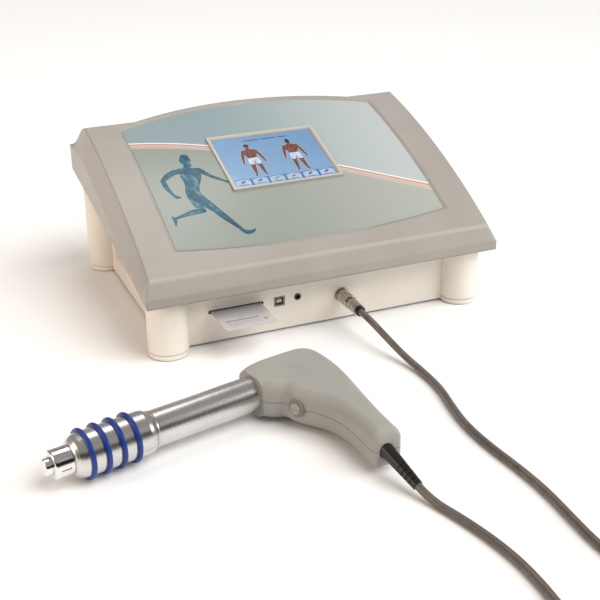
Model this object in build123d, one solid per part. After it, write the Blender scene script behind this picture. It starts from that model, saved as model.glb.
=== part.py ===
from build123d import *
import math
import os

# Desktop physiotherapy console with a pistol-grip applicator on a lead.
# Millimetres. X runs right along the console front, Y to its back, Z up.
# The origin is the centre of the console's footprint, on the table.

# ---- console: posts, case and lid ----
post_spacing_x = 328.6
post_spacing_y = 251.0
post_radius = 20.6
post_wall = 4.0
foot_height = 5.6
foot_groove = 1.1
foot_groove_depth = 0.8
foot_spigot = 8.0
foot_stand = 0.8
foot_pad_radius = 14.0
panel_thickness = 2.5
panel_below = 2.5
panel_inset = 1.5
panel_tongue = 2.4
fit_gap = 0.05

lid_over_side = 6.0
lid_over_front = 9.4
lid_over_rear = 3.1
lid_front_bottom = 63.3
lid_rear_bottom = 116.0
lid_bottom_bulge = 2.6
lid_lip_height = 9.6
lid_fascia_run = 9.3
lid_fascia_rise = 16.1
lid_side_run = 6.1
lid_crown_radius = 811.8
lid_shoulder_in = 61.0
lid_shoulder_height = 178.6
lid_knee_in = 43.0
lid_knee_height = 172.2
lid_rear_height = 145.0
lid_wall = 3.0
under_plate = 3.0
under_rim = 26.0

recess_half_width = 151.5
recess_front_mid = 25.4
recess_front_rise = 12.0
recess_rear_mid = 104.5
recess_rear_drop = 34.0
recess_depth = 3.0
recess_bevel = 4.5
recess_rim = 7.5
overlay_thickness = 1.0
overlay_gap = 0.4

# ---- screen ----
screen_x = -2.5
screen_y = -9.5
lcd_width = 115.2
lcd_height = 86.4
bezel_border = 4.4
bezel_stand = 1.4
glass_drop = 2.0
glass_thickness = 1.8
glass_border = 2.2
lcd_thickness = 7.0
bracket_thickness = 2.0
bracket_border = 4.0

# ---- front and rear fittings ----
slot_x = -91.4
slot_z = 35.2
card_width = 54.0
card_length = 85.6
card_thickness = 0.8
card_out = 48.0
card_gap = 0.3
reader_depth = 60.0
reader_height = 9.0
reader_border = 4.0
usb_x = -44.4
usb_z = 33.6
usb_width = 12.0
usb_height = 10.8
usb_depth = 16.0
jack_x = -24.4
jack_z = 35.2
jack_radius = 1.75
jack_ring_radius = 3.6
jack_depth = 14.0
lead_x = 25.4
lead_z = 28.4
socket_flange_radius = 8.2
socket_depth = 18.0
inlet_x = 100.0
inlet_z = 42.0
rocker_x = 60.0
rocker_z = 42.0
fan_x = -70.0
fan_z = 52.0
fan_size = 60.0
fan_depth = 25.0
fan_blades = 7

flange_thickness = 2.4
usb_mouth_width = 8.9
usb_mouth_height = 8.0
usb_mouth_depth = 9.0
usb_tongue_width = 5.6
usb_tongue_height = 3.2
jack_ring_height = 0.8
jack_body_radius = 3.0
socket_flange = 2.2
socket_body_radius = 7.2
socket_bore = 5.0
plug_tip_gap = 1.0
plug_sleeve_gap = 0.3
plug_sleeve_length = 21.0
plug_sleeve_travel = 2.5
plug_sleeve_radius = 7.2
plug_core_radius = 5.6
plug_body_length = 18.0
plug_body_radius = 6.1
plug_edge = 0.7
plug_grommet_length = 3.0
plug_grommet_radius = 5.2
inlet_body_width = 27.4
inlet_body_height = 32.0
inlet_depth = 22.0
inlet_mouth_width = 24.0
inlet_mouth_height = 16.4
inlet_mouth_depth = 16.0
fuse_width = 20.0
fuse_height = 7.0
fuse_depth = 14.0
fuse_gap = 0.2
rocker_frame_width = 19.4
rocker_frame_height = 27.0
rocker_depth = 12.0
rocker_width = 12.6
rocker_length = 21.0
rocker_heel = 4.2
rocker_gap = 0.6
rocker_pin = 1.5
rocker_pin_end = 1.6
rocker_throw = 14.0
fan_bore = 28.4
fan_hub_radius = 14.0
fan_shaft_radius = 2.0
fan_tip_gap = 1.2
guard_thickness = 2.4
vent_count = 9
vent_start = 42.0
vent_pitch = 5.5
vent_width = 2.4
vent_height = 34.0
vent_z = 40.0
foot_edge_round = 1.2
foot_pad_depth = 1.2
card_corner = 3.1
board_z = 13.0
board_thickness = 1.6
stud_radius = 3.0
stud_inset = 5.0
main_board_area = (-130.0, 20.0, -50.0, 40.0)
driver_board_area = (40.0, 140.0, -90.0, -10.0)
capacitor_radius = 12.0
capacitor_height = 36.0
capacitor_from_edge = 20.0
power_supply_area = (45.0, 140.0, 4.0, 92.0)
power_supply_height = 20.0
heat_sink_area = (-128.0, -30.0, 48.0, 86.0)

# ---- applicator ----
hand_x = -129.5
hand_y = -276.6
hand_heading = 13.75
barrel_radius = 16.0
barrel_wall = 2.5
barrel_length = 106.0
barrel_seat = 14.0
sleeve_radius = 19.3
sleeve_wall = 2.4
sleeve_start = 104.0
sleeve_shoulder = 9.0
sleeve_end = 180.0
nose_length = 10.0
nose_bore_length = 16.0
ring_first = 125.7
ring_pitch = 13.95
ring_count = 4
ring_section = 4.6
ring_proud = 3.0
ring_stand = 0.7
nut_radius = 12.7
nut_front = 197.0
nut_flutes = 8
tip_radius = 7.35
tip_front = 202.8
tip_gap = 0.06
tip_body_radius = 7.0
tip_cushion = 1.2
nut_thread_length = 8.0
nut_thread_radius = 11.4
nut_thread_gap = 0.05
nut_lip = 3.0
washer_thickness = 1.2
tip_flange_radius = 10.4
tip_travel = 1.0
guide_inner = 4.0
guide_outer = 5.6
guide_start = 24.0
rear_block_length = 8.0
guide_gap = 0.4
guide_plug = 4.0
striker_rest = 1.5
striker_gap = 0.05
striker_length = 32.0
coil_outer = 12.6
drive_coil_start = 34.0
drive_coil_length = 44.0
return_coil_start = 84.0
return_coil_length = 44.0
grip_thickness = 38.0
grip_round = 11.0
grip_wall = 2.6
grip_front = 3.0
grip_corner = 4.5
button_u = 12.9
button_v = 46.0
button_tilt = 14.0
button_radius = 5.4
button_gap = 0.08
button_travel = 1.8
button_proud = 2.4
button_ring_radius = 8.0
button_ring_height = 3.2
button_ring_proud = 0.6
boot_u = 31.0
boot_v = 147.0
boot_tilt = 20.0
boot_length = 40.0
boot_root_radius = 6.3
boot_end_radius = 4.5
boot_inside = 5.0
boot_gap = 0.2
boot_flange_radius = 8.5

# ---- lead ----
lead_diameter = 7.0
coil_x = 6.0
coil_y = -692.0
coil_radius = 40.0
coil_band = 11.0
coil_height = 18.0
tie_width = 12.0
tie_thickness = 0.8

# ---- derived places ----
post_x = post_spacing_x / 2
post_y = post_spacing_y / 2
panel_front_y = -post_y + panel_inset
panel_rear_y = post_y - panel_inset
panel_side_x = post_x - panel_inset
lid_half_width = post_x + post_radius + lid_over_side
lid_top_half_width = lid_half_width - lid_side_run
lid_front_y = -(post_y + post_radius + lid_over_front)
lid_rear_y = post_y + post_radius + lid_over_rear
lip_top = lid_front_bottom + lid_lip_height
crease_y = lid_front_y + lid_fascia_run
crease_z = lip_top + lid_fascia_rise
shoulder_y = lid_rear_y - lid_shoulder_in
knee_y = lid_rear_y - lid_knee_in

os.makedirs("parts", exist_ok=True)


def save(name, shape):
    export_step(shape, f"parts/{name}.step")


def arc_center(start, end, radius):
    """Centre of the arc of that radius from start to end that bulges upward."""
    mid_y = (start[0] + end[0]) / 2
    mid_z = (start[1] + end[1]) / 2
    chord = math.hypot(end[0] - start[0], end[1] - start[1])
    drop = math.sqrt(radius**2 - (chord / 2) ** 2)
    along_y = (end[0] - start[0]) / chord
    along_z = (end[1] - start[1]) / chord
    return mid_y + drop * along_z, mid_z - drop * along_y


def bulge_radius(start, end, bulge):
    chord = math.hypot(end[0] - start[0], end[1] - start[1])
    return (chord**2 / 4 + bulge**2) / (2 * bulge)


def cross_bar(center, radius, half_length):
    """Solid cylinder that runs along X."""
    return Pos(0, center[0], center[1]) * Rot(0, 90, 0) * Cylinder(radius, 2 * half_length)


def box_between(x0, x1, y0, y1, z0, z1):
    return Pos((x0 + x1) / 2, (y0 + y1) / 2, (z0 + z1) / 2) * Box(x1 - x0, y1 - y0, z1 - z0)


def along_y(x, z, y0, y1, radius):
    """Cylinder from y0 to y1 along Y."""
    return Pos(x, (y0 + y1) / 2, z) * Rot(90, 0, 0) * Cylinder(radius, abs(y1 - y0))


crown_center = arc_center((crease_y, crease_z), (shoulder_y, lid_shoulder_height), lid_crown_radius)
bottom_start = (lid_front_y, lid_front_bottom)
bottom_end = (lid_rear_y, lid_rear_bottom)
bottom_radius = bulge_radius(bottom_start, bottom_end, lid_bottom_bulge)
bottom_center = arc_center(bottom_start, bottom_end, bottom_radius)
case_half = lid_half_width + 20
guide_end = sleeve_end - nose_bore_length
ring_outer = sleeve_radius + ring_proud
hand_z = ring_outer + ring_stand


def crown_height(y, inset=0.0):
    return crown_center[1] + math.sqrt((lid_crown_radius - inset) ** 2 - (y - crown_center[0]) ** 2)


def below_lid():
    """Everything under the lid's lower edge."""
    return cross_bar(bottom_center, bottom_radius, case_half)


def lid_body():
    """The lid's outer shape, with its sloping side fascias."""
    top_mid_y = (crease_y + shoulder_y) / 2
    bottom_mid_y = (lid_front_y + lid_rear_y) / 2
    bottom_mid_z = bottom_center[1] + math.sqrt(bottom_radius**2 - (bottom_mid_y - bottom_center[0]) ** 2)
    bottom = ThreePointArc(bottom_start, (bottom_mid_y, bottom_mid_z), bottom_end)
    top = Line(bottom_end, (lid_rear_y, lid_rear_height))
    top += Line((lid_rear_y, lid_rear_height), (knee_y, lid_knee_height))
    top += Line((knee_y, lid_knee_height), (shoulder_y, lid_shoulder_height))
    top += ThreePointArc(
        (shoulder_y, lid_shoulder_height), (top_mid_y, crown_height(top_mid_y)), (crease_y, crease_z)
    )
    top += Line((crease_y, crease_z), (lid_front_y, lip_top))
    top += Line((lid_front_y, lip_top), bottom_start)
    inner_face = Plane.YZ * make_face(bottom + top)
    middle = extrude(inner_face, amount=lid_top_half_width, both=True)

    # The side crease runs lower than the crown and rises most behind the middle.
    low = lid_front_y + 0.31 * (lid_rear_y - lid_front_y)
    high = lid_front_y + 0.66 * (lid_rear_y - lid_front_y)
    rise = lid_rear_height - lip_top
    side_points = [
        (shoulder_y, lip_top + 0.965 * rise),
        (high, lip_top + 0.80 * rise),
        (low, lip_top + 0.285 * rise),
        (lid_front_y + 1.5, lip_top + 0.6),
    ]
    side = Line(bottom_end, (lid_rear_y, lid_rear_height))
    side += Line((lid_rear_y, lid_rear_height), (knee_y, lip_top + 0.99 * rise))
    side += Line((knee_y, lip_top + 0.99 * rise), side_points[0])
    side += Spline(*side_points)
    side += Line(side_points[-1], (lid_front_y, lip_top))
    side += Line((lid_front_y, lip_top), bottom_start)
    outer_face = Plane.YZ * make_face(bottom + side)
    body = middle
    for sign in (-1, 1):
        near = Pos(sign * lid_top_half_width, 0, 0) * inner_face
        far = Pos(sign * lid_half_width, 0, 0) * outer_face
        body += loft([near, far], ruled=True)
    return body, inner_face

# ---- lid and what it holds ----
screen_slope = math.asin((crown_center[0] - screen_y) / lid_crown_radius)
screen = Plane(
    origin=(screen_x, screen_y, crown_height(screen_y)),
    x_dir=(1, 0, 0),
    z_dir=(0, -math.sin(screen_slope), math.cos(screen_slope)),
)
overlay_top = overlay_thickness - recess_depth
bezel_top = overlay_top + bezel_stand
glass_top = bezel_top - glass_drop
lcd_top = glass_top - glass_thickness
bracket_top = lcd_top - lcd_thickness
bezel_width = lcd_width + 2 * bezel_border
bezel_height = lcd_height + 2 * bezel_border
glass_width = lcd_width + 2 * glass_border
glass_height = lcd_height + 2 * glass_border
recess_front_y = lid_front_y + recess_front_mid
recess_rear_y = recess_rear_mid + recess_bevel
arch_radius = bulge_radius((-recess_half_width, 0), (recess_half_width, 0), recess_rear_drop)
front_arc_radius = bulge_radius((-recess_half_width, 0), (recess_half_width, 0), recess_front_rise)


def surface_plane(y, shift):
    """Plane tangent to the crown at y, its origin moved along the slope by shift."""
    slope = math.asin((crown_center[0] - y) / lid_crown_radius)
    start = Vector(0, y, crown_height(y)) + Vector(0, math.cos(slope), math.sin(slope)) * shift
    return Plane(origin=start, x_dir=(1, 0, 0), z_dir=(0, -math.sin(slope), math.cos(slope)))


def flared_disc(y, direction, radius, inset):
    """Cone whose wall passes the crown at y and leans in by the bevel as it goes down."""
    lean = recess_bevel / recess_depth
    deep, high = 40.0, 12.0
    cone = Cone(radius - inset - lean * deep, radius - inset + lean * high, deep + high)
    return surface_plane(y, direction * radius).location * (Pos(0, 0, (high - deep) / 2) * cone)


def recess_solid(inset):
    """What the shallow tray in the lid takes away, with its sloping sides."""
    low = lid_crown_radius - recess_depth
    high = lid_crown_radius + 6.0
    lean = recess_bevel / recess_depth
    half_low = recess_half_width - recess_bevel - inset
    half_high = half_low + lean * (high - low)
    outline = Polyline((-half_low, low), (half_low, low), (half_high, high), (-half_high, high), close=True)
    ring = revolve(Plane.XY * make_face(outline), axis=Axis.X)
    tray = Pos(0, crown_center[0], crown_center[1]) * ring
    tray &= flared_disc(recess_front_y, 1, front_arc_radius, inset)
    tray &= flared_disc(recess_rear_y, -1, arch_radius, inset)
    return tray


def overlay_film():
    """Printed film on the floor of the tray."""
    skin = cross_bar(crown_center, lid_crown_radius - recess_depth + overlay_thickness, case_half)
    return skin & recess_solid(overlay_gap)


def arch_block(inset):
    """The raised back of the lid behind the tray."""
    half = recess_half_width + recess_rim - recess_bevel - inset
    radius = arch_radius + recess_rim - recess_bevel - inset
    block = cross_bar(crown_center, lid_crown_radius - (recess_depth + lid_wall if inset else 0), half)
    block &= Pos(0, recess_rear_y - arch_radius, 150) * Cylinder(radius, 400)
    return block & box_between(-half, half, shoulder_y - 12, shoulder_y + 80, 130, 300)


def lid_hollow(face):
    inner = offset(face, amount=-lid_wall, kind=Kind.INTERSECTION)
    room = extrude(inner, amount=lid_top_half_width - lid_wall, both=True)
    room += Pos(0, 0, -lid_wall - 6) * room
    room &= cross_bar(crown_center, lid_crown_radius - recess_depth - lid_wall, case_half)
    return room + arch_block(lid_wall)


def screen_box(width, height, low, high):
    return screen.location * (Pos(0, 0, (low + high) / 2) * Box(width, height, high - low))


def make_lid():
    body, face = lid_body()
    hollow = lid_hollow(face)
    shell = body + arch_block(0.0) - hollow - recess_solid(0.0)
    window = screen_box(bezel_width, bezel_height, bracket_top, 20)
    save("lid", shell - window)
    save("overlay_film", overlay_film() - window)
    plate = cross_bar(bottom_center, bottom_radius + under_plate, case_half)
    plate -= cross_bar(bottom_center, bottom_radius, case_half)
    plate &= hollow
    open_x = post_x - post_radius - under_rim
    open_y = post_y - post_radius - under_rim
    save("lid_underside", plate - box_between(-open_x, open_x, -open_y, open_y, 0, 300))


def make_screen():
    bezel = screen_box(bezel_width, bezel_height, bracket_top, bezel_top)
    bezel -= screen_box(glass_width, glass_height, bracket_top - 1, glass_top)
    mouth = Plane(screen.location * Pos(0, 0, glass_top)) * Rectangle(lcd_width, lcd_height)
    bezel -= extrude(mouth, amount=glass_drop + 1, taper=-40)
    save("screen_bezel", bezel)
    save("touch_glass", screen_box(glass_width, glass_height, lcd_top, glass_top))
    save("lcd_module", screen_box(glass_width, glass_height, bracket_top, lcd_top))
    bracket = screen_box(
        bezel_width + 2 * bracket_border,
        bezel_height + 2 * bracket_border,
        bracket_top - bracket_thickness,
        bracket_top,
    )
    bracket -= screen_box(lcd_width * 0.7, lcd_height * 0.6, bracket_top - 9, bracket_top + 1)
    save("lcd_bracket", bracket)


# ---- case ----
def panel_boxes(grow):
    """The four upright panels, tall, with their ends in the posts' slots."""
    end_x = post_x - post_radius + panel_tongue
    end_y = post_y - post_radius + panel_tongue
    bottom = panel_below - grow
    wall = panel_thickness
    front = box_between(
        -end_x - grow, end_x + grow, panel_front_y - grow, panel_front_y + wall + grow, bottom, 200
    )
    rear = box_between(
        -end_x - grow, end_x + grow, panel_rear_y - wall - grow, panel_rear_y + grow, bottom, 200
    )
    left = box_between(
        -panel_side_x - grow, -panel_side_x + wall + grow, -end_y - grow, end_y + grow, bottom, 200
    )
    right = box_between(
        panel_side_x - wall - grow, panel_side_x + grow, -end_y - grow, end_y + grow, bottom, 200
    )
    return front, rear, left, right


def front_holes():
    grow = 2 * fit_gap
    slot = box_between(
        slot_x - card_width / 2 - card_gap, slot_x + card_width / 2 + card_gap,
        panel_front_y - 5, panel_front_y + 10,
        slot_z - card_thickness / 2 - card_gap, slot_z + card_thickness / 2 + card_gap,
    )
    usb = Pos(usb_x, panel_front_y, usb_z) * Box(usb_width + grow, 20, usb_height + grow)
    jack = along_y(jack_x, jack_z, panel_front_y - 5, panel_front_y + 10, jack_body_radius + fit_gap)
    lead = along_y(lead_x, lead_z, panel_front_y - 5, panel_front_y + 10, socket_body_radius + fit_gap)
    return slot + usb + jack + lead


def side_vents(x):
    cuts = []
    for number in range(vent_count):
        y = vent_start + number * vent_pitch
        cuts.append(Pos(x, y, vent_z) * Box(10, vent_width, vent_height))
    return cuts


def make_case():
    front, rear, left, right = panel_boxes(0.0)
    under = below_lid()
    save("front_panel", (front & under) - front_holes())
    rear = (rear & under) - inlet_cut() - rocker_cut()
    rear -= along_y(fan_x, fan_z, panel_rear_y - 10, panel_rear_y + 10, fan_bore)
    save("rear_panel", rear)
    save("side_panel_left", (left & under) - side_vents(-panel_side_x))
    save("side_panel_right", (right & under) - side_vents(panel_side_x))
    inner_x = panel_side_x - panel_thickness
    inner_y = -panel_front_y - panel_thickness
    floor = box_between(-inner_x, inner_x, -inner_y, inner_y, panel_below, panel_below + panel_thickness)
    for x in (-post_x, post_x):
        for y in (-post_y, post_y):
            floor -= Pos(x, y, 0) * Cylinder(post_radius + fit_gap, 100)
    stud_height = board_z - panel_below - panel_thickness
    for x, y in board_studs():
        floor += Pos(x, y, board_z - stud_height / 2) * Cylinder(stud_radius, stud_height)
    save("bottom_plate", floor)


def make_post(x, y):
    bottom = foot_height + foot_groove
    post = Pos(x, y, bottom + 100) * (Cylinder(post_radius, 200) - Cylinder(post_radius - post_wall, 200))
    post &= below_lid()
    for panel in panel_boxes(fit_gap):
        post -= panel
    return post


def make_foot(x, y):
    """Cap pressed into the bottom of a post."""
    cap = Pos(0, 0, (foot_stand + foot_height) / 2) * Cylinder(post_radius, foot_height - foot_stand)
    cap = fillet(cap.edges().group_by(Axis.Z)[0], foot_edge_round)
    spigot_top = foot_height + foot_groove + foot_spigot
    spigot = Pos(0, 0, (foot_height + spigot_top) / 2)
    cap += spigot * Cylinder(post_radius - post_wall - fit_gap, spigot_top - foot_height)
    collar = Pos(0, 0, foot_height + foot_groove / 2)
    cap += collar * Cylinder(post_radius - foot_groove_depth, foot_groove)
    cap -= Pos(0, 0, foot_stand) * Cylinder(foot_pad_radius, 2 * foot_pad_depth)
    cap = Pos(x, y, 0) * cap
    for panel in panel_boxes(fit_gap):
        cap -= panel
    return cap


def make_posts():
    pad_height = foot_stand + foot_pad_depth
    for end, y in (("front", -post_y), ("rear", post_y)):
        save(f"{end}_posts", Compound([*make_post(-post_x, y).solids(), *make_post(post_x, y).solids()]))
    corners = [(x, y) for y in (-post_y, post_y) for x in (-post_x, post_x)]
    save("foot_caps", Compound([solid for x, y in corners for solid in make_foot(x, y).solids()]))
    pads = [Pos(x, y, pad_height / 2) * Cylinder(foot_pad_radius, pad_height) for x, y in corners]
    save("foot_pads", Compound([solid for pad in pads for solid in pad.solids()]))


# ---- front fittings ----
def make_card():
    depth_in = panel_front_y - card_out + card_length
    card = box_between(
        slot_x - card_width / 2, slot_x + card_width / 2,
        panel_front_y - card_out, depth_in,
        slot_z - card_thickness / 2, slot_z + card_thickness / 2,
    )
    card = fillet(card.edges().filter_by(Axis.Z), card_corner)
    save("memory_card", card)
    start = panel_front_y + panel_thickness
    half = card_width / 2 + reader_border
    reader = box_between(
        slot_x - half, slot_x + half, start, start + reader_depth,
        slot_z - reader_height / 2, slot_z + reader_height / 2,
    )
    reader -= box_between(
        slot_x - card_width / 2 - card_gap, slot_x + card_width / 2 + card_gap,
        start - 1, depth_in + card_gap,
        slot_z - card_thickness / 2 - card_gap, slot_z + card_thickness / 2 + card_gap,
    )
    save("card_reader", reader)


def make_sockets():
    back = panel_front_y + usb_depth
    shell = box_between(
        usb_x - usb_width / 2, usb_x + usb_width / 2, panel_front_y, back,
        usb_z - usb_height / 2, usb_z + usb_height / 2,
    )
    shell -= Pos(usb_x, panel_front_y, usb_z) * Box(usb_mouth_width, 2 * usb_mouth_depth, usb_mouth_height)
    tongue = Pos(usb_x, panel_front_y + usb_mouth_depth / 2 + 1, usb_z)
    shell += tongue * Box(usb_tongue_width, usb_mouth_depth - 2 + 2, usb_tongue_height)
    save("usb_socket", shell)

    jack = along_y(jack_x, jack_z, panel_front_y - jack_ring_height, panel_front_y, jack_ring_radius)
    jack += along_y(jack_x, jack_z, panel_front_y, panel_front_y + jack_depth, jack_body_radius)
    jack -= along_y(jack_x, jack_z, panel_front_y - 5, panel_front_y + jack_depth - 2, jack_radius)
    save("jack_socket", jack)

    flange_front = panel_front_y - socket_flange
    socket = along_y(lead_x, lead_z, flange_front, panel_front_y, socket_flange_radius)
    socket += along_y(lead_x, lead_z, panel_front_y, panel_front_y + socket_depth, socket_body_radius)
    socket -= along_y(lead_x, lead_z, flange_front - 1, panel_front_y + socket_depth - 2, socket_bore)
    save("lead_socket", socket)


def make_plug():
    """Push-pull plug: a sprung latch sleeve slides on the core."""
    front = panel_front_y - socket_flange
    tip = panel_front_y + socket_depth - 2 - plug_tip_gap
    sleeve_rear = front - plug_sleeve_gap - plug_sleeve_length
    body_front = sleeve_rear - plug_sleeve_travel - plug_sleeve_gap
    body_rear = body_front - plug_body_length
    core = along_y(lead_x, lead_z, front, tip, socket_bore - fit_gap)
    core += along_y(lead_x, lead_z, body_front, front, plug_core_radius)
    core += along_y(lead_x, lead_z, body_rear, body_front, plug_body_radius)
    save("plug_body", core)
    sleeve = along_y(lead_x, lead_z, sleeve_rear, front - plug_sleeve_gap, plug_sleeve_radius)
    sleeve = chamfer(sleeve.edges().filter_by(GeomType.CIRCLE), plug_edge)
    sleeve -= along_y(lead_x, lead_z, sleeve_rear - 1, front, plug_core_radius + fit_gap)
    save("plug_sleeve", sleeve)
    grommet = along_y(lead_x, lead_z, body_rear - plug_grommet_length, body_rear, plug_grommet_radius)
    grommet -= along_y(
        lead_x, lead_z, body_rear - plug_grommet_length - 1, body_rear + 1, lead_diameter / 2
    )
    save("plug_grommet", grommet)
    return body_rear


# ---- rear fittings ----
def inlet_cut():
    return Pos(inlet_x, panel_rear_y, inlet_z) * Box(inlet_body_width, 20, inlet_body_height)


def rocker_cut():
    return Pos(rocker_x, panel_rear_y, rocker_z) * Box(rocker_frame_width, 20, rocker_frame_height)


def make_inlet():
    flange = Pos(inlet_x, panel_rear_y + flange_thickness / 2, inlet_z)
    inlet = flange * Box(inlet_body_width + 6, flange_thickness, inlet_body_height + 6)
    inlet += box_between(
        inlet_x - inlet_body_width / 2, inlet_x + inlet_body_width / 2,
        panel_rear_y - inlet_depth, panel_rear_y,
        inlet_z - inlet_body_height / 2, inlet_z + inlet_body_height / 2,
    )
    mouth_z = inlet_z + inlet_body_height / 2 - inlet_mouth_height / 2 - 2
    mouth_rear = panel_rear_y + flange_thickness
    mouth = box_between(
        inlet_x - inlet_mouth_width / 2, inlet_x + inlet_mouth_width / 2,
        mouth_rear - inlet_mouth_depth, mouth_rear + 1,
        mouth_z - inlet_mouth_height / 2, mouth_z + inlet_mouth_height / 2,
    )
    inlet -= chamfer(mouth.edges().filter_by(Axis.Y).group_by(Axis.Z)[-1], 4)
    for shift, drop in ((-7.0, -2.0), (0.0, 2.0), (7.0, -2.0)):
        pin = Pos(inlet_x + shift, mouth_rear - inlet_mouth_depth / 2 - 1, mouth_z + drop)
        inlet += pin * Box(2, inlet_mouth_depth - 2, 4)
    drawer_z = inlet_z - inlet_body_height / 2 + fuse_height / 2 + 2
    inlet -= box_between(
        inlet_x - fuse_width / 2 - fuse_gap, inlet_x + fuse_width / 2 + fuse_gap,
        mouth_rear - fuse_depth - fuse_gap, mouth_rear + 1,
        drawer_z - fuse_height / 2 - fuse_gap, drawer_z + fuse_height / 2 + fuse_gap,
    )
    save("mains_inlet", inlet)
    drawer = box_between(
        inlet_x - fuse_width / 2, inlet_x + fuse_width / 2,
        mouth_rear - fuse_depth, mouth_rear + 1.2,
        drawer_z - fuse_height / 2, drawer_z + fuse_height / 2,
    )
    drawer -= Pos(inlet_x, mouth_rear - fuse_depth / 2, drawer_z + fuse_height / 2) * Box(
        fuse_width - 3, fuse_depth - 4, fuse_height
    )
    save("fuse_drawer", drawer)


def make_rocker():
    frame = Pos(rocker_x, panel_rear_y + flange_thickness / 2, rocker_z)
    outer = frame * Box(rocker_frame_width + 3, flange_thickness, rocker_frame_height + 3)
    outer += box_between(
        rocker_x - rocker_frame_width / 2, rocker_x + rocker_frame_width / 2,
        panel_rear_y - rocker_depth, panel_rear_y,
        rocker_z - rocker_frame_height / 2, rocker_z + rocker_frame_height / 2,
    )
    mouth_width = rocker_width + 2 * rocker_gap
    outer -= box_between(
        rocker_x - mouth_width / 2, rocker_x + mouth_width / 2,
        panel_rear_y - rocker_depth + 2, panel_rear_y + 10,
        rocker_z - rocker_length / 2 - rocker_gap, rocker_z + rocker_length / 2 + rocker_gap,
    )
    pivot = Pos(rocker_x, panel_rear_y, rocker_z)
    pin_length = mouth_width + 2 * rocker_pin_end
    outer -= pivot * Rot(0, 90, 0) * Cylinder(rocker_pin + fit_gap, pin_length + 2 * fit_gap)
    save("rocker_frame", outer)
    half = rocker_length / 2
    outline = Polyline(
        (-rocker_heel, -half + 1.5), (rocker_heel, -half), (rocker_heel - 1, 0),
        (rocker_heel, half), (-rocker_heel, half - 1.5), close=True,
    )
    rocker = extrude(Plane.YZ * make_face(outline), amount=rocker_width / 2, both=True)
    rocker += Rot(0, 90, 0) * Cylinder(rocker_pin, pin_length)
    save("power_rocker", pivot * Rot(rocker_throw / 2, 0, 0) * rocker)


def make_fan():
    rear = panel_rear_y - panel_thickness
    front = rear - fan_depth
    center_y = (front + rear) / 2
    frame = Pos(fan_x, center_y, fan_z) * Box(fan_size, fan_depth, fan_size)
    frame -= along_y(fan_x, fan_z, front - 1, rear + 1, fan_bore)
    hub_plate = front + 3
    spokes = Pos(fan_x, front + 1.5, fan_z) * Box(fan_size - 2, 3, 4)
    spokes += Pos(fan_x, front + 1.5, fan_z) * Box(4, 3, fan_size - 2)
    frame += spokes
    frame += along_y(fan_x, fan_z, front, hub_plate, fan_hub_radius)
    frame += along_y(fan_x, fan_z, hub_plate, rear - 8, fan_shaft_radius)
    save("fan_frame", frame)
    rotor_front = hub_plate + 0.6
    rotor_rear = rear - 3
    rotor = along_y(fan_x, fan_z, rotor_front, rotor_rear, fan_hub_radius)
    blade_mid = (fan_hub_radius + fan_bore - fan_tip_gap) / 2
    blade_length = fan_bore - fan_tip_gap - fan_hub_radius + 2
    for number in range(fan_blades):
        turn = 360 / fan_blades * number
        blade = Pos(0, 0, blade_mid - 1) * Rot(0, 0, 35) * Box(1.6, fan_depth * 0.55, blade_length)
        rotor += Pos(fan_x, center_y + 1.8, fan_z) * Rot(0, turn, 0) * blade
    rotor -= along_y(fan_x, fan_z, rotor_front - 1, rear - 8 + 0.6, fan_shaft_radius + fit_gap)
    save("fan_rotor", rotor)
    guard_front = panel_rear_y
    guard_rear = panel_rear_y + guard_thickness
    guard = None
    for radius in (10.0, 18.0, 26.0, fan_bore + 1.0):
        ring = along_y(fan_x, fan_z, guard_front, guard_rear, radius)
        ring -= along_y(fan_x, fan_z, guard_front - 1, guard_rear + 1, radius - 2)
        guard = ring if guard is None else guard + ring
    for turn in (45, -45):
        bar = Pos(fan_x, (guard_front + guard_rear) / 2, fan_z) * Rot(0, turn, 0)
        guard += bar * Box(2 * fan_bore, guard_thickness, 2.4)
    save("fan_guard", guard)


# ---- electronics ----
def board_studs():
    """Studs under the corners of both boards."""
    places = []
    for x0, x1, y0, y1 in (main_board_area, driver_board_area):
        for x in (x0 + stud_inset, x1 - stud_inset):
            for y in (y0 + stud_inset, y1 - stud_inset):
                places.append((x, y))
    return places


def make_electronics():
    x0, x1, y0, y1 = main_board_area
    top = board_z + board_thickness
    board = box_between(x0, x1, y0, y1, board_z, top)
    board += box_between(x0 + 40, x0 + 68, y0 + 45, y0 + 73, top, top + 3)
    board += box_between(x0 + 84, x0 + 100, y0 + 30, y0 + 52, top, top + 2)
    board += box_between(x0 + 20, x0 + 50, y1 - 14, y1 - 6, top, top + 9)
    board += box_between(x0 + 70, x0 + 110, y1 - 14, y1 - 6, top, top + 9)
    save("main_board", board)
    x0, x1, y0, y1 = driver_board_area
    driver = box_between(x0, x1, y0, y1, board_z, top)
    driver += box_between(x0 + 8, x1 - 8, y0 + 8, y0 + 16, top, top + 22)
    save("driver_board", driver)
    caps = []
    for number in range(3):
        x = x0 + (x1 - x0) * (number + 0.5) / 3
        place = Pos(x, y1 - capacitor_from_edge, top + capacitor_height / 2)
        caps.append(place * Cylinder(capacitor_radius, capacitor_height))
    save("driver_capacitors", Compound([solid for cap in caps for solid in cap.solids()]))
    floor = panel_below + panel_thickness
    x0, x1, y0, y1 = power_supply_area
    save("power_supply", box_between(x0, x1, y0, y1, floor, floor + power_supply_height))
    x0, x1, y0, y1 = heat_sink_area
    sink = box_between(x0, x1, y0, y1, floor, floor + 6)
    fins = 9
    for number in range(fins):
        x = x0 + (x1 - x0 - 2) * number / (fins - 1)
        sink += box_between(x, x + 2, y0, y1, floor + 6, floor + 32)
    save("heat_sink", sink)


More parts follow.
